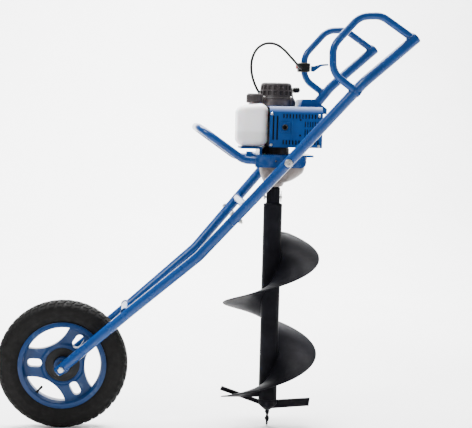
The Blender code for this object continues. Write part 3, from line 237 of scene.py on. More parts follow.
def enamel():
    """Semi-gloss black enamel on the bit, thinner and greyer at its edges."""
    n = Nodes("bit_enamel")
    tone = n.mix(n.ramp(n.noise(10.0, 5.0, 0.6), 0.32, 0.68),
                 (0.0042, 0.0042, 0.0054), (0.0095, 0.0095, 0.0122))
    rubbed = n.maths('MULTIPLY', n.edges(0.58, 0.70), n.ramp(n.noise(80.0, 5.0), 0.40, 0.68))
    tone = n.mix(n.ramp(rubbed, 0.0, 1.0, 0.0, 0.50), tone, (0.085, 0.082, 0.080))
    low = n.ramp(n.height_of(), 0.02, 0.14, 0.22, 0.0)
    soil = n.maths('MULTIPLY', low, n.ramp(n.noise(46.0, 6.0, 0.7), 0.45, 0.70))
    tone = n.mix(soil, tone, (0.040, 0.030, 0.022))
    streaks = n.noise(34.0, 5.0, 0.65, n.stretched(1.0, 1.0, 0.18))
    rough = n.ramp(streaks, 0.3, 0.7, 0.36, 0.48)
    peel = n.bump(n.noise(360.0, 2.0), 0.06, 0.0005)
    normal = n.bump(n.noise(26.0, 3.0), 0.06, 0.0020, peel)
    return n.finish(tone, rough, normal, Specular_IOR_Level=0.015)


def tyre_rubber():
    """Black tread rubber with scattered patches of dust."""
    n = Nodes("tread_rubber")
    tone = n.mix(n.ramp(n.noise(30.0, 6.0, 0.7), 0.3, 0.7),
                 (0.0022, 0.0021, 0.0021), (0.0056, 0.0054, 0.0053))
    dust = n.ramp(n.noise(85.0, 6.0, 0.75), 0.50, 0.78, 0.0, 0.12)
    tone = n.mix(dust, tone, (0.034, 0.031, 0.028))
    rough = n.ramp(n.noise(60.0, 5.0), 0.3, 0.7, 0.62, 0.90)
    fine = n.bump(n.noise(850.0, 3.0), 0.16, 0.0005)
    normal = n.bump(n.noise(140.0, 4.0), 0.10, 0.0010, fine)
    return n.finish(tone, rough, normal, Specular_IOR_Level=0.16)


def tank_skin():
    """Milky blow-moulded plastic with fuel showing faintly in its lower half."""
    n = Nodes("tank_skin")
    level = n.ramp(n.height_of(), 0.955, 0.963)
    fuel = n.mix(level, (0.74, 0.725, 0.715), (0.90, 0.890, 0.900))
    cloud = n.ramp(n.noise(16.0, 5.0), 0.35, 0.70, 0.0, 0.35)
    tone = n.mix(cloud, fuel, (0.82, 0.805, 0.82))
    tone = n.mix(n.ramp(n.noise(75.0, 6.0, 0.7), 0.60, 0.80, 0.0, 0.16), tone, (0.46, 0.43, 0.38))
    rough = n.ramp(n.noise(32.0, 4.0), 0.3, 0.7, 0.34, 0.50)
    normal = n.bump(n.noise(260.0, 3.0), 0.10, 0.0006)
    return n.finish(tone, rough, normal, Subsurface_Weight=0.35, Subsurface_Scale=0.012)


def floor_skin():
    """Pale studio floor."""
    n = Nodes("studio_floor")
    tone = n.mix(n.ramp(n.noise(1.4, 3.0), 0.3, 0.7), (0.86, 0.86, 0.86), (0.90, 0.90, 0.90))
    rough = n.ramp(n.noise(8.0, 3.0), 0.3, 0.7, 0.60, 0.75)
    return n.finish(tone, rough, n.bump(n.noise(60.0, 2.0), 0.02, 0.001))


FINISH = {
    "blue_paint": paint("frame_paint", (0.0001, 0.034, 0.150), (0.0001, 0.027, 0.122), 0.25, 0.12),
    "rim_paint": paint("wheel_paint", (0.0001, 0.022, 0.092), (0.0001, 0.017, 0.072), 0.40, 0.02),
    "blue_plastic": moulded("shroud_plastic", (0.0001, 0.036, 0.150),
                            (0.0001, 0.030, 0.126), 0.42, 900.0, 0.06, 0.04),
    "tyre_rubber": tyre_rubber(),
    "zinc_steel": plated("bright_zinc", (0.66, 0.66, 0.64), (0.48, 0.48, 0.47), 0.28),
    "dark_steel": plated("oiled_steel", (0.085, 0.083, 0.082), (0.045, 0.044, 0.046), 0.40),
    "black_enamel": enamel(),
    "cast_aluminium": cast_metal("cast_alloy", (0.150, 0.130, 0.125),
                                 (0.075, 0.064, 0.062), 0.46),
    "grey_plastic": moulded("grey_moulding", (0.046, 0.040, 0.041),
                            (0.028, 0.024, 0.025), 0.42, 700.0, 0.14),
    "tank_plastic": tank_skin(),
    "black_plastic": moulded("black_moulding", (0.0055, 0.0055, 0.0060),
                             (0.0032, 0.0032, 0.0036), 0.44, 800.0, 0.14),
    "red_plastic": moulded("red_moulding", (0.46, 0.016, 0.012), (0.36, 0.010, 0.010), 0.34, 700.0, 0.06),
    "cable_rubber": moulded("cable_sheath", (0.0045, 0.0045, 0.0048),
                            (0.0026, 0.0026, 0.0030), 0.46, 1200.0, 0.10),
}


# ================================================================ mesh tools
def linked(name, data):
    """Scene object for a mesh, a lamp or the camera."""
    obj = bpy.data.objects.new(name, data)
    bpy.context.collection.objects.link(obj)
    return obj


def mesh_object(name, bm, slot):
    """Linked object from a finished bmesh, which is used up."""
    mesh = bpy.data.meshes.new(name)
    bm.to_mesh(mesh)
    bm.free()
    mesh.materials.append(FINISH[slot])
    obj = linked(name, mesh)
    obj["slot_name"] = slot
    return obj


def to_object(name, bm, slot):
    """Linked object from a bmesh, its faces turned outwards first."""
    bmesh.ops.recalc_face_normals(bm, faces=bm.faces[:])
    return mesh_object(name, bm, slot)


def round_edges(obj, width, segments, limit):
    """Bevel modifier on the edges sharper than the limit."""
    bevel = obj.modifiers.new("edge_round", 'BEVEL')
    bevel.width = width
    bevel.segments = segments
    bevel.limit_method = 'ANGLE'
    bevel.angle_limit = math.radians(limit)
    return bevel


def soften(obj, width=0.0006, segments=2, limit=30.0):
    """Round the hard edges a little and shade the rest smooth."""
    shade(obj, limit)
    round_edges(obj, width, segments, limit).harden_normals = True
    return obj


def shade(obj, limit=30.0):
    """Smooth shading with edges sharper than the limit kept."""
    mesh = obj.data
    mesh.shade_smooth()
    bm = bmesh.new()
    bm.from_mesh(mesh)
    for edge in bm.edges:
        if len(edge.link_faces) == 2:
            edge.smooth = edge.calc_face_angle(0.0) < math.radians(limit)
    bm.to_mesh(mesh)
    bm.free()
    return obj


def boolean(obj, tool, operation):
    """Apply one exact boolean and drop the tool."""
    modifier = obj.modifiers.new("shape", 'BOOLEAN')
    modifier.operation = operation
    modifier.solver = 'EXACT'
    modifier.object = tool
    bpy.context.view_layer.update()
    graph = bpy.context.evaluated_depsgraph_get()
    mesh = bpy.data.meshes.new_from_object(obj.evaluated_get(graph))
    obj.modifiers.clear()
    obj.data = mesh
    bpy.data.objects.remove(tool, do_unlink=True)
    while len(mesh.materials) > 1:
        mesh.materials.pop()
    return obj


def cut(obj, *tools):
    for tool in tools:
        boolean(obj, tool, 'DIFFERENCE')
    return obj


def weld(obj, *tools):
    for tool in tools:
        boolean(obj, tool, 'UNION')
    return obj


def merged(name, parts):
    """One object from several, keeping the first one's finish."""
    bm = bmesh.new()
    for part in parts:
        bm.from_mesh(part.data)
    slot = parts[0]["slot_name"]
    for part in parts:
        bpy.data.objects.remove(part, do_unlink=True)
    return mesh_object(name, bm, slot)


def place(obj, body, *nodes):
    """Move a finished piece onto the frame's axis and let it ride there."""
    obj.data.transform(Matrix.Translation((AXIS_X, 0.0, 0.0)))
    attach(obj, body)
    del obj["slot_name"]
    if nodes:
        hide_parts(*nodes)
    return obj


ARC_STEP = math.radians(5.0)


def rounded_path(corners, bend_radius):
    """Centreline through the corners with each inner corner rounded."""
    points = [Vector(corner) for corner in corners]
    route = [points[0]]
    for before, corner, after in zip(points, points[1:], points[2:]):
        d0 = (corner - before).normalized()
        d1 = (after - corner).normalized()
        turn = d0.angle(d1)
        if turn < 1e-4:
            route.append(corner)
            continue
        reach = bend_radius * math.tan(turn / 2)
        normal = (d1 - d0 * d0.dot(d1)).normalized()
        centre = corner - d0 * reach + normal * bend_radius
        count = max(2, math.ceil(turn / ARC_STEP))
        for i in range(count + 1):
            angle = turn * i / count
            route.append(centre + (d0 * math.sin(angle) - normal * math.cos(angle)) * bend_radius)
    route.append(points[-1])
    return route


def smooth_path(points, steps=6):
    """Catmull-Rom curve through given points."""
    points = [Vector(p) for p in points]
    padded = [points[0] * 2 - points[1]] + points + [points[-1] * 2 - points[-2]]
    route = []
    for p0, p1, p2, p3 in zip(padded, padded[1:], padded[2:], padded[3:]):
        for i in range(steps):
            t = i / steps
            route.append(0.5 * (2 * p1 + (p2 - p0) * t + (2 * p0 - 5 * p1 + 4 * p2 - p3) * t * t
                                + (3 * p1 - p0 - 3 * p2 + p3) * t ** 3))
    route.append(points[-1])
    return route


def path_frames(route, ring=False):
    """Distance, place and two side directions at every route point."""
    frames, travelled, side = [], 0.0, None
    last = len(route) - 1
    for i, point in enumerate(route):
        before = route[i - 1] if i else route[-1 if ring else 0]
        after = route[i + 1] if i < last else route[0 if ring else last]
        tangent = (after - before).normalized()
        if side is None:
            side = tangent.cross(Vector((0.0, 1.0, 0.0)))
            if side.length < 0.1:
                side = tangent.cross(Vector((0.0, 0.0, 1.0)))
        side = (side - tangent * side.dot(tangent)).normalized()
        if i:
            travelled += (point - route[i - 1]).length
        frames.append((travelled, point, side, tangent.cross(side)))
    return frames


def frame_at(frames, distance):
    """Frame at a distance along the route."""
    for first, second in zip(frames, frames[1:]):
        if distance <= second[0] or second is frames[-1]:
            share = (distance - first[0]) / (second[0] - first[0])
            blend = min(max(share, 0.0), 1.0)
            return (first[1].lerp(second[1], share), first[2].lerp(second[2], blend).normalized(),
                    first[3].lerp(second[3], blend).normalized())
    raise ValueError("route has no length")


def bridge_rings(bm, rings, closed):
    """Join neighbouring rings of vertices, capping open ends."""
    pairs = list(zip(rings, rings[1:]))
    if closed:
        pairs.append((rings[-1], rings[0]))
    for first, second in pairs:
        count = max(len(first), len(second))
        for k in range(count):
            nxt = (k + 1) % count
            if len(first) == 1:
                bm.faces.new((first[0], second[nxt], second[k]))
            elif len(second) == 1:
                bm.faces.new((first[k], first[nxt], second[0]))
            else:
                bm.faces.new((first[k], first[nxt], second[nxt], second[k]))
    if not closed:
        for end in (rings[0], rings[-1]):
            if len(end) > 2:
                bm.faces.new(end)


def circle(sides):
    """Angles of evenly spaced points around a circle."""
    return [2 * math.pi * k / sides for k in range(sides)]


def ring_around(bm, spot, side, up, radius, sides):
    """Vertices on a circle across a route."""
    return [bm.verts.new(spot + (side * math.cos(a) + up * math.sin(a)) * radius) for a in circle(sides)]


def swept(name, route, outline, slot, sides=40):
    """Sweep circles along a route through (distance, radius) stations."""
    frames = path_frames(route)
    stations = [outline[0]]
    for (s0, r0), (s1, r1) in zip(outline, outline[1:]):
        between = [f[0] for f in frames if min(s0, s1) + 1e-5 < f[0] < max(s0, s1) - 1e-5]
        if s1 < s0:
            between.reverse()
        stations.extend((s, r0 + (r1 - r0) * (s - s0) / (s1 - s0)) for s in between)
        stations.append((s1, r1))
    bm = bmesh.new()
    rings = []
    for distance, radius in stations:
        spot, side, up = frame_at(frames, distance)
        if radius < 1e-6:
            rings.append([bm.verts.new(spot)])
        else:
            rings.append(ring_around(bm, spot, side, up, radius, sides))
    bridge_rings(bm, rings, False)
    return shade(to_object(name, bm, slot))


def pipe(name, route, radius, slot, sides=40):
    """Plain round bar along a route, with flat ends."""
    length = path_frames(route)[-1][0]
    return swept(name, route, ((0.0, 0.0), (0.0, radius), (length, radius), (length, 0.0)), slot, sides)


def skin(name, sections, slot):
    """Solid through sections of equally many points, with capped ends."""
    bm = bmesh.new()
    bridge_rings(bm, [[bm.verts.new(point) for point in section] for section in sections], False)
    return to_object(name, bm, slot)


def bead(route, radius, sides=10, ripple=0.18):
    """Closed weld bead along a ring of points, its ripples seeded by place."""
    bm = bmesh.new()
    rings = []
    for i, (_, spot, side, up) in enumerate(path_frames(route, ring=True)):
        swell = radius * (1.0 + ripple * math.sin(i * 2.1) + ripple * noise.noise(spot * 300.0))
        rings.append(ring_around(bm, spot, side, up, swell, sides))
    bridge_rings(bm, rings, True)
    return shade(to_object("bead", bm, "blue_paint"), 80.0)


def lathe(name, profile, slot, axis='Z', centre=(0.0, 0.0, 0.0), sides=64, ripple=None, limit=30.0):
    """Revolve (radius, height) points; a third value marks rippled points."""
    closed = profile[0][0] > 1e-6 and profile[-1][0] > 1e-6
    turn = {'Z': Matrix.Identity(3), 'Y': Matrix(((1, 0, 0), (0, 0, 1), (0, 1, 0))),
            'X': Matrix(((0, 0, 1), (1, 0, 0), (0, 1, 0)))}[axis]
    bm = bmesh.new()
    rings = []
    for point in profile:
        radius, height = point[0], point[1]
        if radius < 1e-6:
            rings.append([bm.verts.new(turn @ Vector((0.0, 0.0, height)))])
            continue
        ring = []
        for angle in circle(sides):
            grown = radius + (ripple(angle) if ripple and len(point) > 2 else 0.0)
            spot = Vector((grown * math.cos(angle), grown * math.sin(angle), height))
            ring.append(bm.verts.new(turn @ spot))
        rings.append(ring)
    bridge_rings(bm, rings, closed)
    bmesh.ops.translate(bm, verts=bm.verts[:], vec=Vector(centre))
    return shade(to_object(name, bm, slot), limit)


def rod(name, radius, start, end, slot="zinc_steel", sides=40):
    """Straight bar with lightly broken ends."""
    start, end = Vector(start), Vector(end)
    length = (end - start).length
    chip = min(radius * 0.2, length * 0.2, 0.0006)
    outline = ((0.0, 0.0), (0.0, radius - chip), (chip, radius), (length - chip, radius),
               (length, radius - chip), (length, 0.0))
    return swept(name, [start, end], outline, slot, sides)


def cutter(radius, start, end, sides=40):
    """Plain straight bar for boolean cuts."""
    return pipe("cutter", [Vector(start), Vector(end)], radius, "zinc_steel", sides)


def prism(name, outline, low, high, slot, axis='Z'):
    """Extrude a flat outline: XY for Z, XZ for Y, YZ for X."""
    spot = {'Z': lambda a, b, h: (a, b, h), 'Y': lambda a, b, h: (a, h, b),
            'X': lambda a, b, h: (h, a, b)}[axis]
    bm = bmesh.new()
    floor = [bm.verts.new(spot(a, b, low)) for a, b in outline]
    roof = [bm.verts.new(spot(a, b, high)) for a, b in outline]
    bm.faces.new(floor)
    bm.faces.new(roof)
    for k in range(len(outline)):
        nxt = (k + 1) % len(outline)
        bm.faces.new((floor[k], floor[nxt], roof[nxt], roof[k]))
    return to_object(name, bm, slot)


def block(name, low, high, slot="zinc_steel", bevel=0.0, segments=4):
    """Box between two corners with rounded edges."""
    bm = bmesh.new()
    bmesh.ops.create_cube(bm, size=1.0)
    bmesh.ops.scale(bm, verts=bm.verts[:], vec=[h - l for l, h in zip(low, high)])
    bmesh.ops.translate(bm, verts=bm.verts[:], vec=[(h + l) / 2 for l, h in zip(low, high)])
    if bevel:
        bmesh.ops.bevel(bm, geom=bm.edges[:], offset=bevel, segments=segments, profile=0.5, affect='EDGES')
    return shade(to_object(name, bm, slot))


def arc_points(cx, cy, radius, start, end, count):
    """Points along an arc, angles in degrees."""
    step = (end - start) / count
    angles = [math.radians(start + step * i) for i in range(count + 1)]
    return [(cx + radius * math.cos(a), cy + radius * math.sin(a)) for a in angles]


def hex_bolt(name, start, end, flats, head, shank, body, *nodes, nut=0.0, washer=True):
    """Hex bolt with chamfered head, washer and, at the far end, a nut."""
    a, b = Vector(start), Vector(end)
    d = (b - a).normalized()
    corner = flats / math.sqrt(3.0)
    parts = [swept("head", [a - d * head, a], ((0.0, 0.0), (0.0, corner * 0.80), (head * 0.16, corner),
                                               (head, corner), (head, 0.0)), "zinc_steel", 6)]
    if washer:
        parts.append(rod("washer", corner * 1.12, a - d * 0.0014, a + d * 0.0002))
    length = (b - a).length + (nut + 0.004 if nut else 0.0)
    parts.append(rod("shank", shank, a - d * 0.001, a + d * length, sides=24))
    if nut:
        parts.append(swept("nut", [b, b + d * nut], ((0.0, 0.0), (0.0, corner), (nut * 0.84, corner),
                                                     (nut, corner * 0.82), (nut, 0.0)), "zinc_steel", 6))
    bolt = merged(name, parts)
    soften(bolt, 0.0004, 2)
    return place(bolt, body, *nodes)


# ================================================================ push frame
def sided(corner, side):
    """A corner of the right arm, or its mirror image on the left one."""
    x, y, z = corner
    return (x, y * side, z)


def lower_route(side):
    return rounded_path([sided(c, side) for c in (ARM_FOOT, ARM_STRAIGHT_END, ARM_BEND, ARM_JOINT)],
                        ARM_BEND_R)


def upper_route(side):
    return rounded_path([sided(c, side) for c in (ARM_JOINT, PIVOT, ARM_HANDLE_BEND, ARM_TIP)], ARM_BEND_R)


def stepped_cutter(x, z, side, seat, bore, stops):
    """Bore along Y with a flat seat at each side of an arm."""
    s1, s2, s3 = (stop - stops[0] for stop in stops[1:])
    outline = ((0.0, 0.0), (0.0, seat), (s1, seat), (s1, bore), (s2, bore), (s2, seat), (s3, seat), (s3, 0.0))
    return swept("cutter", [Vector((x, stops[0] * side, z)), Vector((x, stops[3] * side, z))], outline,
                 "zinc_steel")


def joint_line(side):
    """Direction of an arm at its joint, and the bolt's centre and direction."""
    along = (Vector(sided(PIVOT, side)) - Vector(sided(ARM_JOINT, side))).normalized()
    across = along.cross(Vector((0.0, 1.0, 0.0))).normalized()
    if across.z < 0:
        across.negate()
    return along, Vector(sided(ARM_JOINT, side)) + along * 0.022, across


def make_arms(label, side):
    """Both halves of one arm, with the bolts that pass through it."""
    route = lower_route(side)
    length = path_frames(route)[-1][0]
    outline = ((0.0, 0.0), (0.0, 0.0105), (0.0008, 0.0130), (0.0024, 0.0150), (0.0050, ARM_R),
               (length, ARM_R), (length, 0.012), (length, 0.0))
    arm = swept("lower_arm_tube_" + label, route, outline, "blue_paint", 48)
    cut(arm, stepped_cutter(WHEEL_X, WHEEL_R, side, 0.0125, BOLT_HOLE_R, (0.040, 0.052, AXLE_SEAT_Y, 0.100)))
    weld(arm, cutter(0.0108, (WHEEL_X, 0.0318 * side, WHEEL_R), (WHEEL_X, 0.0535 * side, WHEEL_R)))
    place(soften(arm, 0.0005), "frame", "lower_arm_" + label)
    route = upper_route(side)
    length = path_frames(route)[-1][0]
    outline = ((0.0006, 0.0), (0.0006, ARM_R - 0.0008), (0.0014, ARM_R), (length, ARM_R), (length, ARM_BORE),
               (length - 0.03, ARM_BORE), (length - 0.03, 0.0))
    arm = swept("upper_arm_tube_" + label, route, outline, "blue_paint", 48)
    cut(arm, stepped_cutter(PIVOT_X, PIVOT_Z, side, 0.0135, BOLT_HOLE_R, (0.140, 0.170, PIVOT_SEAT_Y, 0.220)))
    place(soften(arm, 0.0005), "frame", "upper_arm_" + label)
    along, centre, across = joint_line(side)
    reach = ARM_R + GAP
    hex_bolt("joint_bolt_" + label, centre + across * reach, centre - across * reach, 0.013, 0.0052, 0.004,
             "frame", "sleeve_bolt_" + label, nut=0.0062, washer=False)
    seat = (PIVOT_SEAT_Y + GAP) * side
    hex_bolt("pivot_bolt_fine_" + label, (PIVOT_X, seat, PIVOT_Z), (PIVOT_X, (RAIL_IN - GAP) * side, PIVOT_Z),
             0.019, 0.0070, 0.006, "frame", "pivot_bolt_" + label, nut=0.0090)
    tip, before = route[-1], route[-2]
    d = (tip - before).normalized()
    plug = swept("arm_plug_" + label, [tip - d * 0.018, tip + d * 0.004],
                 ((0.0, 0.0), (0.0, 0.0134), (0.0181, 0.0134), (0.0181, ARM_R - 0.0006),
                  (0.0196, ARM_R - 0.0004), (0.0210, ARM_R - 0.0024), (0.022, 0.010), (0.0222, 0.0)),
                 "black_plastic", 48)
    place(soften(plug, 0.0003), "frame", "end_plug_" + label)


def saddle_ring(spot, d, radius, arm_spot, arm_d, arm_r, count=48):
    """Curve where a tube that points along d meets an arm's surface."""
    side = d.cross(arm_d).normalized()
    up = d.cross(side)
    ring = []
    for angle in circle(count):
        p = spot + (side * math.cos(angle) + up * math.sin(angle)) * radius
        w = p - arm_spot
        w = w - arm_d * w.dot(arm_d)
        v = d - arm_d * d.dot(arm_d)
        a, b, c = v.dot(v), w.dot(v), w.dot(w) - arm_r * arm_r
        root = math.sqrt(max(b * b - a * c, 0.0))
        ring.append(p + d * ((-b - root) / a))
    return ring


def saddle_bead(spot, d, radius, arm, near, thickness):
    """Weld bead where a tube along d meets one stretch of an arm."""
    arm_d = (arm[near + 1] - arm[near]).normalized()
    return bead(saddle_ring(spot, d, radius + 0.0004, arm[near], arm_d, ARM_R + GAP), thickness)


def make_loop(label, side):
    """Hand loop and the weld beads at its two feet."""
    ys = (0.2475, LOOP_Y, LOOP_Y, LOOP_Y, LOOP_Y, 0.2565)
    route = rounded_path([(x, y * side, z) for (x, z), y in zip(LOOP_CORNERS, ys)], LOOP_BEND_R)
    place(pipe("hand_loop_tube_" + label, route, LOOP_R, "blue_paint"), "frame", "handle_loop_" + label)
    arm = upper_route(side)
    beads = []
    for end, inner in ((0, 1), (-1, -2)):
        d = (route[end] - route[inner]).normalized()
        near = min(range(len(arm) - 1), key=lambda i: ((arm[i] + arm[i + 1]) / 2 - route[end]).length)
        beads.append(saddle_bead(route[end] - d * 0.06, d, LOOP_R, arm, near, 0.0021))
    place(merged("loop_welds_" + label, beads), "frame")


def make_cross_tubes():
    """The two cross tubes with their weld beads."""
    for name, (x, z, half) in CROSS_TUBES.items():
        ends = [Vector((x, -half, z)), Vector((x, half, z))]
        place(pipe(name + "_pipe", ends, CROSS_R, "blue_paint"), "frame", name)
        beads = []
        for _, side in SIDES:
            arm = lower_route(side) if name.startswith("lower") else upper_route(side)
            spot = Vector((x, half * side, z))
            near = min(range(len(arm) - 1), key=lambda i: distance_to(arm[i], arm[i + 1], spot))
            inside = Vector((x, 0.02 * side, z))
            beads.append(saddle_bead(inside, Vector((0.0, side, 0.0)), CROSS_R, arm, near, 0.0022))
        place(merged(name + "_welds", beads), "frame")


def distance_to(a, b, p):
    """Distance from a point to the segment a-b."""
    ab = b - a
    t = min(max((p - a).dot(ab) / ab.length_squared, 0.0), 1.0)
    return (a + ab * t - p).length


# ================================================================ wheel
def tyre_outline():
    """Half of the tyre's outer section, from bead to crown, as (radius, width)."""
    return [(0.1372, 0.0228), (0.1440, 0.0262), (0.1500, 0.0295), (0.1580, 0.0322), (0.1600, 0.0332),
            (0.1625, 0.0334), (0.1645, 0.0330), (0.1710, 0.0338), (0.1800, 0.0334), (0.1880, 0.0312),
            (0.1885, 0.0318), (0.1940, 0.0283), (0.1985, 0.0228),
            (0.2012, 0.0155), (0.2028, 0.0078), (0.2033, 0.0)]


# How far round each row starts and reaches, in pitches; its widths, slant, radii and height.
TREAD_PITCHES = 46
TREAD_ROWS = ((0.0, 0.62, (0.0060, 0.0135), 0.030, (0.2030, 0.2020), 0.0028),
              (0.16, 0.66, (0.0160, 0.0240), 0.040, (0.2008, 0.1974), 0.0034),
              (0.34, 0.60, (0.0262, 0.0318), 0.030, (0.1955, 0.1895), 0.0032))


def make_tyre():
    """Carcass with moulded rings and a block tread pointing one way."""
    half = tyre_outline()
    outer = [(r, -w) for r, w in half] + half[-2::-1]
    inner = [(0.1372, 0.0165), (0.152, 0.0215), (0.168, 0.0265), (0.183, 0.0262), (0.1935, 0.0200),
             (0.1975, 0.0), (0.1935, -0.0200), (0.183, -0.0262), (0.168, -0.0265), (0.152, -0.0215),
             (0.1372, -0.0165)]
    carcass = lathe("carcass", outer + inner, "tyre_rubber", 'Y', HUB, 160, limit=50.0)
    bm = bmesh.new()
    step = 2 * math.pi / TREAD_PITCHES
    for angle in circle(TREAD_PITCHES):
        for side, offset in ((-1.0, 0.0), (1.0, 0.25 * step)):
            for delay, sweep, *shape in TREAD_ROWS:
                tread_block(bm, angle + offset + step * delay, step * sweep, side, *shape)
        tread_block(bm, angle, step * 0.70, 1.0, (-0.0042, 0.0042), 0.0, (0.2030, 0.2030), 0.0029)
    tyre = merged("tyre_fine", [carcass, to_object("blocks", bm, "tyre_rubber")])
    place(shade(tyre, 40.0), "wheel", "tyre")


def tread_block(bm, start, sweep, side, widths, slant, radii, height):
    """Raised block with slanting ends between two widths of the tread."""
    rings = []
    for j in range(4):
        inset = {0: 0.07, 3: -0.07}.get(j, 0.0) * sweep
        foot, top = [], []
        for w, r, lean in ((widths[0], radii[0], 0.0), (widths[1], radii[1], slant)):
            angle = start + lean + sweep * j / 3
            foot.append(ring_point(r - 0.002, angle, w * side))
            top.append(ring_point(min(r + height, WHEEL_R - 0.0001), angle + inset, w * side))
        rings.append([bm.verts.new(p) for p in (foot[0], top[0], top[1], foot[1])])
    bridge_rings(bm, rings, False)


def ring_point(radius, angle, width):
    return Vector((WHEEL_X + radius * math.cos(angle), width, WHEEL_R + radius * math.sin(angle)))


WINDOW_R, WINDOW_DEEP, WINDOW_HALF = 0.1195, 0.069, 37.0


def window_outline(direction):
    """Lens between two spokes."""
    outside = arc_points(0.0, 0.0, WINDOW_R, direction - WINDOW_HALF, direction + WINDOW_HALF, 24)
    chord = WINDOW_R * math.sin(math.radians(WINDOW_HALF))
    depth = WINDOW_R * math.cos(math.radians(WINDOW_HALF)) - WINDOW_DEEP
    bulge = (chord * chord + depth * depth) / (2 * depth)
    d = math.radians(direction)
    spread = math.degrees(math.asin(chord / bulge))
    reach = WINDOW_DEEP + bulge
    inside = arc_points(reach * math.cos(d), reach * math.sin(d), bulge,
                        direction + 180.0 - spread, direction + 180.0 + spread, 24)
    return outside + inside[1:-1]


def slot_outline(direction, radius, length, width):
    """Rounded slot lying along a spoke."""
    d = math.radians(direction)
    half = (length - width) / 2
    far = ((radius + half) * math.cos(d), (radius + half) * math.sin(d))
    near = ((radius - half) * math.cos(d), (radius - half) * math.sin(d))
    points = arc_points(*far, width / 2, direction - 90, direction + 90, 14)
    return points + arc_points(*near, width / 2, direction + 90, direction + 270, 14)


def make_rim():
    """Cast rim with three double spokes, hub covers, valve and axle bolt."""
    half = [(0.0153, 0.0315), (0.0245, 0.0315), (0.0260, 0.0300), (0.0260, 0.0125), (0.0545, 0.0125),
            (0.0545, 0.0150), (0.0560, 0.0162), (0.0630, 0.0162), (0.0655, 0.0140), (0.0700, 0.0095),
            (0.1140, 0.0090), (0.1195, 0.0105), (0.1215, 0.0130), (0.1235, 0.0280), (0.1255, 0.0300),
            (0.1375, 0.0300), (0.1390, 0.0288), (0.1388, 0.0250), (0.1330, 0.0235), (0.1285, 0.0190)]
    profile = half + [(r, -h) for r, h in reversed(half)]
    rim = lathe("rim_fine", profile, "rim_paint", 'Y', HUB, 144)
    for angle in (57.0, 177.0, 297.0):
        for shape in (window_outline(angle + 60.0), slot_outline(angle, 0.088, 0.046, 0.027)):
            spots = [(x + WHEEL_X, z + WHEEL_R) for x, z in shape]
            cut(rim, prism("window", spots, -0.02, 0.02, "rim_paint", 'Y'))
    place(soften(rim, 0.0012, 3, 40.0), "wheel", "wheel_rim")
    for label, side in SIDES:
        rings = [(0.0262, 0.0120), (0.0262, 0.0132), (0.0300, 0.0140), (0.0340, 0.0126), (0.0460, 0.0126),
                 (0.0500, 0.0136), (0.0540, 0.0130), (0.0543, 0.0120)]
        cover = lathe("hub_disc_" + label, [(r, h * side) for r, h in rings], "black_plastic", 'Y',
                      HUB, 96)
        place(cover, "wheel", "hub_cover_" + label)
    d = math.radians(228.0)
    out = Vector((math.cos(d), 0.0, math.sin(d)))
    hub = Vector((WHEEL_X, -0.014, WHEEL_R))
    stem = swept("valve_fine", [hub + out * 0.1200, hub + out * 0.094],
                 ((0.0, 0.0), (0.0, 0.0055), (0.004, 0.0048), (0.0075, 0.0036), (0.014, 0.0036),
                  (0.0145, 0.0042), (0.0245, 0.0042), (0.0258, 0.0034), (0.026, 0.0)), "black_plastic", 24)
    place(stem, "wheel", "valve_stem")
    seat = AXLE_SEAT_Y + GAP
    hex_bolt("axle_bolt_fine", (WHEEL_X, -seat, WHEEL_R), (WHEEL_X, seat, WHEEL_R), 0.0165, 0.0072, 0.006,
             "frame", "axle_bolt", nut=0.0095, washer=False)


# ================================================================ carriage
def make_rails():
    """Box-section rails with round rear ends and pivot bosses."""
    middle, half = (RAIL_Z0 + RAIL_Z1) / 2, (RAIL_Z1 - RAIL_Z0) / 2
    for label, side in SIDES:
        outline = [(RAIL_X0, RAIL_Z0)] + arc_points(RAIL_X1 - half, middle, half, -90.0, 90.0, 28)
        outline += [(RAIL_X0, RAIL_Z1)]
        y0, y1 = sorted((RAIL_IN * side, RAIL_OUT * side))
        rail = prism("rail_fine_" + label, outline, y0, y1, "blue_paint", 'Y')
        cut(rail, block("hollow", (RAIL_X0 - 0.01, y0 + 0.0016, RAIL_Z0 + 0.0016),
                        (PIVOT_X - 0.022, y1 - 0.0016, RAIL_Z1 - 0.0016)))
        weld(rail,
             cutter(0.0120, (PIVOT_X, (RAIL_OUT - 0.004) * side, PIVOT_Z), (PIVOT_X, 0.1697 * side, PIVOT_Z)))
        cut(rail, cutter(0.0063, (PIVOT_X, 0.110 * side, PIVOT_Z), (PIVOT_X, 0.180 * side, PIVOT_Z)))
        cut(rail, cutter(0.004, (-0.014, y0 - 0.01, 0.872), (-0.014, y1 + 0.01, 0.872)))
        place(soften(rail, 0.0012, 3), "carriage", "mount_rail_" + label)
    y, z = (RAIL_IN + RAIL_OUT) / 2, (RAIL_Z0 + RAIL_Z1) / 2
    one = [(RAIL_X0 + 0.030, y, z), (-0.112, y, z + 0.002), (-0.248, y, 0.968)]
    route = rounded_path([(px, -py, pz) for px, py, pz in one] + one[::-1], 0.055)
    place(pipe("guard_bar_tube", route, GUARD_R, "blue_paint"), "carriage", "guard_bar")
    beads = []
    for _, side in SIDES:
        ring = [Vector((RAIL_X0 - 0.0004, y * side + math.cos(a) * 0.0128, z + math.sin(a) * 0.0128))
                for a in circle(40)]
        beads.append(bead(ring, 0.0022))
    place(merged("guard_bar_welds", beads), "carriage")


def stadium(reach, r0, r1, count=30):
    """Gearbox outline around the output axis and the layshaft."""
    tilt = math.degrees(math.asin(max(-1.0, min(1.0, (r0 - r1) / reach))))
    return (arc_points(reach, 0.0, r1, -90.0 + tilt, 90.0 - tilt, count)
            + arc_points(0.0, 0.0, r0, 90.0 - tilt, 270.0 + tilt, count))


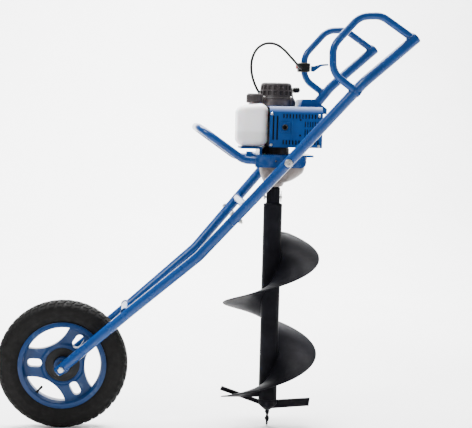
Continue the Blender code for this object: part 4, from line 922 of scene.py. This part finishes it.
def loft(name, sections, slot):
    """Skin equal-length XY outlines stacked as (z, outline)."""
    return skin(name, [[(x, y, z) for x, y in outline] for z, outline in sections], slot)


def make_gearbox():
    """Cast case with ribs, and its lid."""
    reach = GEAR_REACH
    case = loft("gearbox_fine", [
        (0.872, stadium(reach, 0.0500, 0.0540)), (0.8535, stadium(reach, 0.0500, 0.0540)),
        (0.8495, stadium(reach, 0.0466, 0.0506)), (0.840, stadium(reach * 0.97, 0.0462, 0.0500)),
        (0.829, stadium(reach * 0.92, 0.0448, 0.0478)), (0.818, stadium(reach * 0.72, 0.0412, 0.0440)),
        (0.806, stadium(reach * 0.46, 0.0360, 0.0380)), (0.799, stadium(reach * 0.20, 0.0320, 0.0322)),
        (0.7965, stadium(reach * 0.08, 0.0300, 0.0300)), (0.7870, stadium(reach * 0.02, 0.0278, 0.0278)),
        (0.7852, stadium(reach * 0.02, 0.0262, 0.0262))], "cast_aluminium")
    for k in range(8):
        angle = math.radians(22.5 + 45.0 * k)
        c, s = math.cos(angle), math.sin(angle)
        foot, head = 0.0275, (0.0475 if c < 0 else 0.0475 + 0.043 * c)
        across = Vector((-s, c, 0.0)) * 0.0022
        corners = [Vector((foot * c, foot * s, 0.7875)), Vector((foot * c * 1.06, foot * s * 1.06, 0.797)),
                   Vector((head * c, head * s, 0.847)), Vector((head * c, head * s, 0.8525)),
                   Vector((0.02 * c, 0.02 * s, 0.8525)), Vector((0.02 * c, 0.02 * s, 0.7875))]
        weld(case,
             skin("rib", [[p - across for p in corners], [p + across for p in corners]], "cast_aluminium"))
    place(soften(case, 0.0010, 2), "carriage", "gearbox_case")
    cover = loft("gearbox_lid",
                 [(0.8723, stadium(reach, 0.0530, 0.0570)), (0.884, stadium(reach, 0.0530, 0.0570))],
                 "cast_aluminium")
    place(soften(cover, 0.0010, 2), "carriage", "gearbox_cover")


def make_engine_block():
    """Crankcase, finned cylinder, plug cap and ignition lead."""
    case = block("crankcase_fine", (-0.038, -0.040, PLATE_TOP), (0.038, 0.040, 1.037), "cast_aluminium",
                 0.005)
    for z in (0.936, 0.975, 1.014):
        weld(case, block("rib", (-0.0400, -0.030, z - 0.003), (0.030, 0.0425, z + 0.003),
                         "cast_aluminium", 0.0015, 2))
    place(soften(case, 0.0006), "carriage", "crankcase")
    profile = [(0.0, 0.0383), (0.026, 0.0383)]
    for k in range(9):
        x = 0.044 + 0.0082 * k
        profile += [(0.026, x), (0.0415, x), (0.042, x + 0.0005), (0.042, x + 0.0019), (0.0415, x + 0.0024),
                    (0.026, x + 0.0024)]
    profile += [(0.026, 0.118), (0.0, 0.118)]
    place(lathe("cylinder_fine", profile, "cast_aluminium", 'X', (0, 0, BORE_Z), 72), "carriage", "cylinder")
    cap = [(0.0, 0.157), (0.0045, 0.1568), (0.0075, 0.1545), (0.0090, 0.150), (0.0095, 0.146),
           (0.0095, 0.1440), (0.0088, 0.1430), (0.0088, 0.1400), (0.0095, 0.139), (0.0095, 0.1300),
           (0.0088, 0.1275), (0.0053, 0.1275), (0.0053, 0.1395), (0.0, 0.1395)]
    place(lathe("plug_cap_fine", cap, "black_plastic", 'X', (0, 0, BORE_Z), 40), "carriage", "plug_cap")
    lead = smooth_path([(0.146, 0.0, 0.982), (0.148, 0.006, 0.994), (0.146, 0.018, 1.004),
                        (0.138, 0.032, 1.008), (0.128, 0.042, 1.004), (0.112, 0.056, 1.002),
                        (0.092, 0.058, 1.010), (0.070, 0.056, 1.022), (0.052, 0.045, 1.034)])
    place(pipe("plug_lead", lead, 0.0032, "cable_rubber", 20), "carriage")


def shroud_slots():
    """Rows of small slots above and below the outlet, and two tall ones."""
    slots = [((x - 0.0026, 0.936), (x + 0.0026, 1.010)) for x in (-0.0215, -0.0095)]
    for k in range(12):
        x = 0.010 + 0.0098 * k
        slots.append(((x - 0.0023, 0.9225), (x + 0.0023, 0.9360)))
        slots.append(((x - 0.0023, 1.0025), (x + 0.0023, 1.0155)))
    for k in range(6):
        x = 0.077 + 0.0078 * k
        slots.append(((x - 0.0018, 0.9465), (x + 0.0018, 0.9700)))
        slots.append(((x - 0.0018, 0.9765), (x + 0.0018, 0.9935)))
    return slots


def make_shroud():
    """Blue shroud, its slots, outlet boss, sloping air guide, screws, and a black sheet just inside the front wall
    that is painted shade seen through the slots.
    """
    t, y0, y1, x0, x1 = 0.0025, -0.120, 0.048, -0.033, 0.131
    outline = [(y0, PLATE_TOP), (y0, 1.0205), (y0 + 0.0015, 1.0235), (y0 + 0.0160, 1.0378),
               (y0 + 0.0190, 1.039), (y1, 1.039), (y1, PLATE_TOP)]
    shroud = prism("shroud_fine", outline, x0, x1, "blue_plastic", 'X')
    inside = [(y0 + t, 0.90), (y0 + t, 1.0195), (y0 + 0.0185, 1.039 - t), (y1 + 0.01, 1.039 - t),
              (y1 + 0.01, 0.90)]
    cut(shroud, prism("inside", inside, x0 - 0.01, x1 - t, "blue_plastic", 'X'))
    cut(shroud, cutter(0.064, (0, 0, 1.030), (0, 0, 1.05), 96))
    weld(shroud,
         block("boss", (-0.001, y0 - 0.0045, 0.960), (0.029, y0 + 0.001, 0.990), bevel=0.001, segments=2))
    weld(shroud, block("rib", (0.036, y0 - 0.0016, 0.941), (0.040, y0 + 0.001, 0.998)))
    cut(shroud, block("recess", (0.002, y0 - 0.02, 0.963), (0.026, y0 - 0.0025, 0.987)))
    cut(shroud, cutter(0.0095, (0.014, y0 - 0.02, BORE_Z), (0.014, y0 + 0.02, BORE_Z)))
    cut(shroud, cutter(0.0125, (0.12, 0, BORE_Z), (0.14, 0, BORE_Z)))
    for z in (0.9985, 0.951):
        cut(shroud, cutter(0.0035, (0.062, y0 - 0.01, z), (0.062, y0 + 0.01, z), 24))
    for (ax, az), (bx, bz) in shroud_slots():
        cut(shroud, block("slot", (ax, y0 - 0.01, az), (bx, y0 + 0.01, bz)))
    for k in range(7):
        y = -0.100 + 0.018 * k
        cut(shroud, block("slot", (x1 - 0.01, y - 0.003, 0.925), (x1 + 0.01, y + 0.003, 0.950)))
    guide_out = [(0.066, 1.0380), (0.072, 1.062), (0.112, 1.063), (0.150, 1.034), (0.150, 1.018),
                 (x1 - 0.001, 1.018), (x1 - 0.001, 1.0380)]
    guide = prism("air_guide", guide_out, -0.080, 0.046, "blue_plastic", 'Y')
    guide_in = [(0.0695, 1.0405), (0.0745, 1.0595), (0.111, 1.0605), (0.1475, 1.033), (0.1475, 1.010),
                (0.134, 1.010), (0.134, 1.0405)]
    cut(guide, prism("inside", guide_in, -0.0775, 0.0435, "blue_plastic", 'Y'))
    weld(shroud, guide)
    place(soften(shroud, 0.0007, 2, 25.0), "carriage", "engine_shroud")
    # Painted shade: a thin black sheet just inside the front wall makes the slots read dark, standing in for the
    # shade inside the shroud.
    shade_plate = block("heat_shield", (x0 + 0.003, y0 + 0.0075, 0.9160), (x1 - 0.004, y0 + 0.0085, 1.0190),
                   "black_plastic")
    place(soften(shade_plate, 0.0002), "carriage")
    screws = []
    for x, z in ((0.120, 0.9195), (0.120, 1.0120), (-0.027, 0.9205), (-0.027, 1.0150)):
        screws.append(lathe("screw",
                            [(0.0, 0.0030), (0.0032, 0.0026), (0.0046, 0.0008), (0.0047, 0.0), (0.0, 0.0)],
                            "zinc_steel", 'Y', (x, y0 - 0.0001, z), 24))
    for screw in screws:
        for vert in screw.data.vertices:
            vert.co.y = 2 * (y0 - 0.0001) - vert.co.y
    place(merged("shroud_screws", screws), "carriage")


def make_starter():
    """Ribbed starter housing, fan housing, pull handle and cord."""
    z = 1.0603

    def cell(angle):
        return -0.0042 if math.cos(angle * 18) > -0.45 else 0.0

    shell = [(0.0, 1.1128), (0.012, 1.1128), (0.0135, 1.1112), (0.030, 1.1112), (0.0315, 1.1128),
             (0.0405, 1.1128), (0.0440, 1.1118), (0.0468, 1.1098), (0.0485, 1.1065), (0.0490, 1.1040),
             (0.0492, 1.1034, 1), (0.0506, 1.0905, 1), (0.0508, 1.0898), (0.0522, 1.0868),
             (0.0524, 1.0862, 1), (0.0540, 1.0735, 1), (0.0542, 1.0728), (0.0560, 1.0660), (0.0580, 1.0650),
             (0.0590, z), (0.0540, z), (0.0500, 1.067), (0.0410, 1.1055), (0.036, 1.1095), (0.0, 1.1095)]
    housing = lathe("starter_fine", shell, "grey_plastic", sides=216, ripple=cell, limit=40.0)
    cut(housing, cutter(0.0036, (0.02, CORD_Y, CORD_Z), (0.07, CORD_Y, CORD_Z), 24))
    for k in range(12):
        angle = math.radians(30.0 * k)
        c, s = math.cos(angle), math.sin(angle)
        corners = [(a * c - b * s, a * s + b * c)
                   for a, b in ((0.0165, -0.0016), (0.0275, -0.0026), (0.0275, 0.0026), (0.0165, 0.0016))]
        cut(housing, prism("vent", corners, 1.105, 1.116, "grey_plastic"))
    place(shade(housing, 35.0), "carriage", "starter_housing")
    bush = lathe("cord_bush",
                 [(0.0023, 0.0), (0.0052, 0.0), (0.0056, 0.0014), (0.0040, 0.0034), (0.0023, 0.0034)],
                 "black_plastic", 'X', (0.0462, CORD_Y, CORD_Z), 32)
    place(bush, "carriage")
    fan = [(0.009, 1.0373), (0.056, 1.0373), (0.0595, 1.0380), (0.0615, 1.0400), (0.062, 1.0430),
           (0.062, 1.0570), (0.0612, 1.0580), (0.0620, 1.0590), (0.0620, 1.0600), (0.059, 1.0600),
           (0.059, 1.0403), (0.009, 1.0403)]
    place(lathe("fan_housing_fine", fan, "cast_aluminium", sides=128), "carriage", "fan_housing")
    for k in range(4):
        angle = math.radians(45.0 + 90.0 * k)
        x, y = 0.0591 * math.cos(angle), 0.0591 * math.sin(angle)
        lug = rod("starter_lug_%d" % k, 0.0052, (x, y, 1.0410), (x, y, 1.0665), "cast_aluminium", 24)
        place(lug, "carriage")
        hex_bolt("starter_screw_%d" % k, (x, y, 1.0668), (x, y, 1.058), 0.007, 0.0032, 0.002, "carriage",
                 washer=False)
    cord = rod("cord_fine", 0.0017, (-0.035, CORD_Y, CORD_Z), (0.060, CORD_Y, CORD_Z), "cable_rubber", 16)
    place(cord, "starter_pull", "starter_cord")
    grip = block("pull_grip", (0.0548, CORD_Y - 0.027, CORD_Z - 0.0088),
                 (0.0778, CORD_Y + 0.027, CORD_Z + 0.0088), "black_plastic", 0.0078, 6)
    for y in (-0.012, -0.004, 0.004, 0.012):
        cut(grip, block("groove", (0.0760, CORD_Y + y - 0.0012, CORD_Z - 0.02),
                        (0.09, CORD_Y + y + 0.0012, CORD_Z + 0.02)))
    place(soften(grip, 0.0004), "starter_pull", "starter_handle")


def make_tank():
    """Blow-moulded tank with its seam, and the knurled cap."""
    tank = block("tank_fine", (-0.130, -0.106, PLATE_TOP), (-0.034, 0.006, 1.046), "tank_plastic", 0.026, 10)
    for vert in tank.data.vertices:
        if vert.co.z > 1.0:
            vert.co.z -= max(0.0, (-0.075 - vert.co.x)) * 0.16 * (vert.co.z - 1.0) / 0.046
    seam = block("seam", (-0.1306, -0.1066, 0.9768), (-0.0334, 0.0066, 0.9790), "tank_plastic")
    bevel_seam(seam, 0.026)
    weld(tank, seam)
    cut(tank, block("notch", (-0.0425, -0.043, 0.90), (0.0, 0.05, 1.06)))
    weld(tank, cutter(0.018, (CAP_X, CAP_Y, 1.030), (CAP_X, CAP_Y, 1.0470), 48))
    cut(tank, cutter(0.065, (0, 0, 1.034), (0, 0, 1.06), 96))
    place(soften(tank, 0.0004, 2, 40.0), "carriage", "fuel_tank")
    z = 1.0475

    def knurl(angle):
        return 0.0009 * (1.0 if math.cos(angle * 26) > -0.2 else 0.0)

    profile = [(0.0, 1.0752), (0.009, 1.0752), (0.0105, 1.0768), (0.0195, 1.0768), (0.0215, 1.0757),
               (0.0235, 1.0735), (0.0245, 1.0705, 1), (0.0245, 1.0505, 1), (0.0236, z), (0.0183, z),
               (0.0183, 1.0545), (0.0, 1.0545)]
    cap = lathe("fuel_cap_fine", profile, "grey_plastic", 'Z', (CAP_X, CAP_Y, 0), 208, ripple=knurl,
                limit=40.0)
    place(cap, "fuel_cap", "fuel_cap")


def bevel_seam(obj, radius):
    """Round the upright corners of a thin seam to match the tank."""
    bm = bmesh.new()
    bm.from_mesh(obj.data)
    upright = [e for e in bm.edges if abs(e.verts[0].co.z - e.verts[1].co.z) > 0.001]
    bmesh.ops.bevel(bm, geom=upright, offset=radius, segments=10, profile=0.5, affect='EDGES')
    bm.to_mesh(obj.data)
    bm.free()


def make_intake():
    """Air filter cover with grooves, and its screw."""
    cover = block("filter_fine", (0.002, 0.0871, 0.930), (0.090, 0.1285, 1.012), "black_plastic", 0.012, 6)
    for k in range(5):
        z = 0.950 + 0.0105 * k
        cut(cover, block("groove", (0.016, 0.1270, z - 0.0018), (0.076, 0.14, z + 0.0018)))
    place(soften(cover, 0.0006), "carriage", "air_filter_cover")
    profile = [(0.0, 0.0105), (0.004, 0.0105), (0.006, 0.009), (0.006, 0.003), (0.0085, 0.0), (0.0, 0.0)]
    knob = lathe("filter_screw", profile, "zinc_steel", 'Z', (0.046, 0.108, 1.0118), 32)
    place(knob, "carriage")


# ================================================================ auger bit
def make_bit():
    """Tube with socket, screw blade with weld, cutting head, point and coupling pin."""
    tube = [(0.027, BIT_FOOT), (BIT_R - 0.0006, BIT_FOOT), (BIT_R, BIT_FOOT + 0.0006),
            (BIT_R, BIT_TOP - 0.0025), (BIT_R - 0.0025, BIT_TOP), (0.0245, BIT_TOP),
            (0.0228, BIT_TOP + 0.0016), (0.0220, BIT_TOP + 0.0040), (0.0220, 0.7790), (0.0195, 0.7833),
            (0.0103, 0.7833), (0.0103, BIT_TOP - 0.016), (0.027, BIT_TOP - 0.016)]
    body = lathe("bit_tube_fine", tube, "black_enamel", sides=96)
    cut(body, cutter(0.0043, (-0.03, 0, PIN_Z), (0.03, 0, PIN_Z), 24))
    place(soften(body, 0.0003), "auger", "bit_tube")
    steps = 320
    sections, inner = [], []
    for i in range(steps + 1):
        angle = FLIGHT_END + (FLIGHT_START - FLIGHT_END) * i / steps
        z = FLIGHT_Z + FLIGHT_PITCH * angle / (2 * math.pi)
        left = (FLIGHT_START - angle) / math.radians(10.6)
        rim = FLIGHT_R * min(1.0, left / 4.0 + 0.62)
        c, s = math.cos(angle), math.sin(angle)
        section = ((BIT_R - 0.0008, 0.0), (BIT_R + 0.05, 0.0), (rim - 0.0012, 0.0), (rim, 0.0010),
                   (rim, FLIGHT_THICK - 0.0010), (rim - 0.0012, FLIGHT_THICK),
                   (BIT_R + 0.05, FLIGHT_THICK), (BIT_R - 0.0008, FLIGHT_THICK))
        sections.append([(radius * c, radius * s, z + rise) for radius, rise in section])
        inner.append(Vector(((BIT_R + 0.0008) * c, (BIT_R + 0.0008) * s, z + FLIGHT_THICK + 0.0004)))
    place(shade(skin("flighting_fine", sections, "black_enamel"), 40.0), "auger", "flighting")
    place(pipe("flight_weld", inner, 0.0026, "black_enamel", 12), "auger")
    profile = [(0.0, 0.052), (0.0085, 0.052), (0.0105, 0.0528), (0.0285, 0.0692), (0.0297, 0.0715),
               (0.0297, 0.0900), (0.0, 0.0900)]
    head = lathe("cutting_head_fine", profile, "black_enamel", sides=72)
    right = [(0.010, 0.0560), (0.137, 0.0640), (0.140, 0.0900), (0.010, 0.0830)]
    weld(head, prism("blade", right, -0.004, 0.004, "black_enamel", 'Y'))
    left = [(-0.004, 0.0600), (-0.004, 0.0745), (-0.150, 0.1290), (-0.156, 0.1170)]
    weld(head, prism("blade", left, 0.002, 0.010, "black_enamel", 'Y'))
    place(soften(head, 0.0009, 3), "auger", "cutting_head")
    make_point()
    pin = rod("pin_fine", 0.004, (-0.0265, 0, PIN_Z), (0.0290, 0, PIN_Z), "zinc_steel", 32)
    cap = rod("cap", 0.0075, (-0.0305, 0, PIN_Z), (-0.0260, 0, PIN_Z), "zinc_steel", 32)
    corners = [(0.0262, y, z) for y, z in ((0.0, 0.770), (0.0, 0.734), (0.012, 0.734), (0.012, 0.760))]
    clip = pipe("clip", rounded_path(corners, 0.005), 0.0011, "zinc_steel", 14)
    place(merged("coupling_pin_fine", [pin, cap, clip]), "auger", "coupling_pin")


def make_point():
    """Centre point: a flat bar twisted into a screw, drawn out to a tip."""
    sections = []
    steps, sides = 72, 20
    for i in range(steps + 1):
        share = i / steps
        z = 0.0004 + 0.0512 * share
        taper = min(1.0, 0.22 + share * 4.2)
        wide, thin = 0.0076 * taper, 0.0036 * min(1.0, 0.5 + share * 2.5)
        twist = share * math.radians(400.0)
        c, s = math.cos(twist), math.sin(twist)
        oval = [(wide * math.cos(a), thin * math.sin(a)) for a in circle(sides)]
        sections.append([(x * c - y * s, x * s + y * c, z) for x, y in oval])
    place(shade(skin("centre_point_fine", sections, "black_enamel"), 60.0), "auger", "centre_point")


# ================================================================ controls
CABLE_LENGTH = path_frames(smooth_path(CABLE_ROUTE))[-1][0]


def make_controls():
    """Throttle body on the right loop, finger lever, stop switch and cable."""
    x, y, z = THROTTLE
    body = block("throttle_body_fine", (x - 0.020, y - 0.0165, z - 0.0158),
                 (x + 0.022, y + 0.0165, z + 0.0158), "black_plastic", 0.005, 5)
    for dx in (-0.012, 0.014):
        cut(body, cutter(0.003, (x + dx, y - 0.03, z - 0.009), (x + dx, y - 0.0140, z - 0.009), 24))
    place(soften(body, 0.0004), "frame", "throttle_body")
    outline = [(x + 0.0265, z - 0.012), (x + 0.036, z - 0.014), (x + 0.062, z + 0.006),
               (x + 0.086, z + 0.009), (x + 0.086, z + 0.015), (x + 0.060, z + 0.013), (x + 0.036, z + 0.006),
               (x + 0.0265, z + 0.006)]
    lever = prism("finger_lever", outline, y - 0.0068, y + 0.0068, "blue_plastic", 'Y')
    place(soften(lever, 0.0016, 4), "throttle_lever", "throttle_lever")
    switch = block("stop_switch_fine", (x - 0.0261, y - 0.0058, z - 0.0048),
                   (x - 0.0204, y + 0.0058, z + 0.0088), "red_plastic", 0.0016, 4)
    for k in range(3):
        h = z - 0.0015 + 0.0035 * k
        cut(switch, block("groove", (x - 0.03, y - 0.01, h - 0.0005), (x - 0.0254, y + 0.01, h + 0.0005)))
    place(soften(switch, 0.0002), "stop_switch", "stop_switch")
    route = smooth_path(CABLE_ROUTE)
    length = path_frames(route)[-1][0]
    outline = ((0.0, 0.0), (0.0, 0.0050), (0.0150, 0.0050), (0.0160, CABLE_R), (length - 0.0160, CABLE_R),
               (length - 0.0150, 0.0048), (length, 0.0048), (length, 0.0))
    cable = swept("cable_fine", route, outline, "cable_rubber", 24)
    cable.data.transform(Matrix.Translation((AXIS_X, 0.0, 0.0)))
    del cable["slot_name"]
    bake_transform(cable)
    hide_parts("throttle_cable")


# ================================================================ finish
def dress_nodes():
    """Give the CAD nodes that stay their finishes and softened edges."""
    slots = {part["node"]: part["material_slot"] for part in frame["record"]["subparts"]}
    for name, node in frame["nodes"].items():
        if node.hide_render:
            continue
        for index in range(len(node.material_slots)):
            node.material_slots[index].material = FINISH[slots[name]]
        round_edges(node, 0.0006, 2, 35.0)


def make_studio():
    """Pale sweep of floor and backdrop, soft lights and the camera."""
    line = [(-5.0, 0.0), (-2.0, 0.0), (1.2, 0.0)] + [(2.6 + 2.2 * math.sin(a), 2.2 - 2.2 * math.cos(a))
                                                   for a in (math.pi / 2 * k / 24 for k in range(25))]
    line += [(4.8, 5.0), (4.8, 8.0)]
    bm = bmesh.new()
    rows = [[bm.verts.new((x, y, z)) for x in (-9.0, -3.0, 0.0, 3.0, 9.0)] for y, z in line]
    for low, high in zip(rows, rows[1:]):
        for k in range(4):
            bm.faces.new((low[k], low[k + 1], high[k + 1], high[k]))
    mesh = bpy.data.meshes.new("sweep")
    bm.to_mesh(mesh)
    bm.free()
    mesh.shade_smooth()
    mesh.materials.append(floor_skin())
    sweep = linked("sweep", mesh)
    world = bpy.data.worlds.new("studio")
    world.use_nodes = True
    world.node_tree.nodes["Background"].inputs["Color"].default_value = (1.0, 1.0, 1.0, 1.0)
    world.node_tree.nodes["Background"].inputs["Strength"].default_value = 0.46
    bpy.context.scene.world = world
    for name, spot, aim, size, power in (
            ("key", (-2.0, -1.9, 3.2), (0.0, 0.0, 0.6), 0.9, 95.0),
            ("top", (0.5, 0.3, 3.3), (0.1, 0.0, 0.8), 1.1, 36.0),
            ("fill", (2.7, -1.6, 1.3), (0.1, 0.0, 0.7), 1.2, 14.0),
            ("back", (0.0, 2.2, 5.4), (0.0, 4.6, 1.0), 4.0, 2000.0)):
        light = bpy.data.lights.new(name, 'AREA')
        light.size = size
        light.energy = power
        lamp = linked(name, light)
        lamp.location = spot
        lamp.rotation_euler = (Vector(aim) - Vector(spot)).to_track_quat('-Z', 'Y').to_euler()
    lens = bpy.data.cameras.new("camera")
    lens.lens = 73.8
    lens.sensor_width = 36.0
    lens.clip_end = 60.0
    camera = linked("camera", lens)
    camera.location = (AXIS_X - 0.4222, -3.0626, 1.0103)
    turn, dip, roll = math.radians(5.67), math.radians(5.87), math.radians(1.41)
    camera.rotation_euler = (Matrix.Rotation(-turn, 3, 'Z') @ Matrix.Rotation(math.pi / 2 - dip, 3, 'X')
                             @ Matrix.Rotation(roll, 3, 'Z')).to_euler()
    bpy.context.scene.camera = camera


def main():
    make_studio()
    for label, side in SIDES:
        make_arms(label, side)
        make_loop(label, side)
    make_cross_tubes()
    make_tyre()
    make_rim()
    make_rails()
    make_gearbox()
    make_engine_block()
    make_shroud()
    make_starter()
    make_tank()
    make_intake()
    make_bit()
    make_controls()
    dress_nodes()


main()
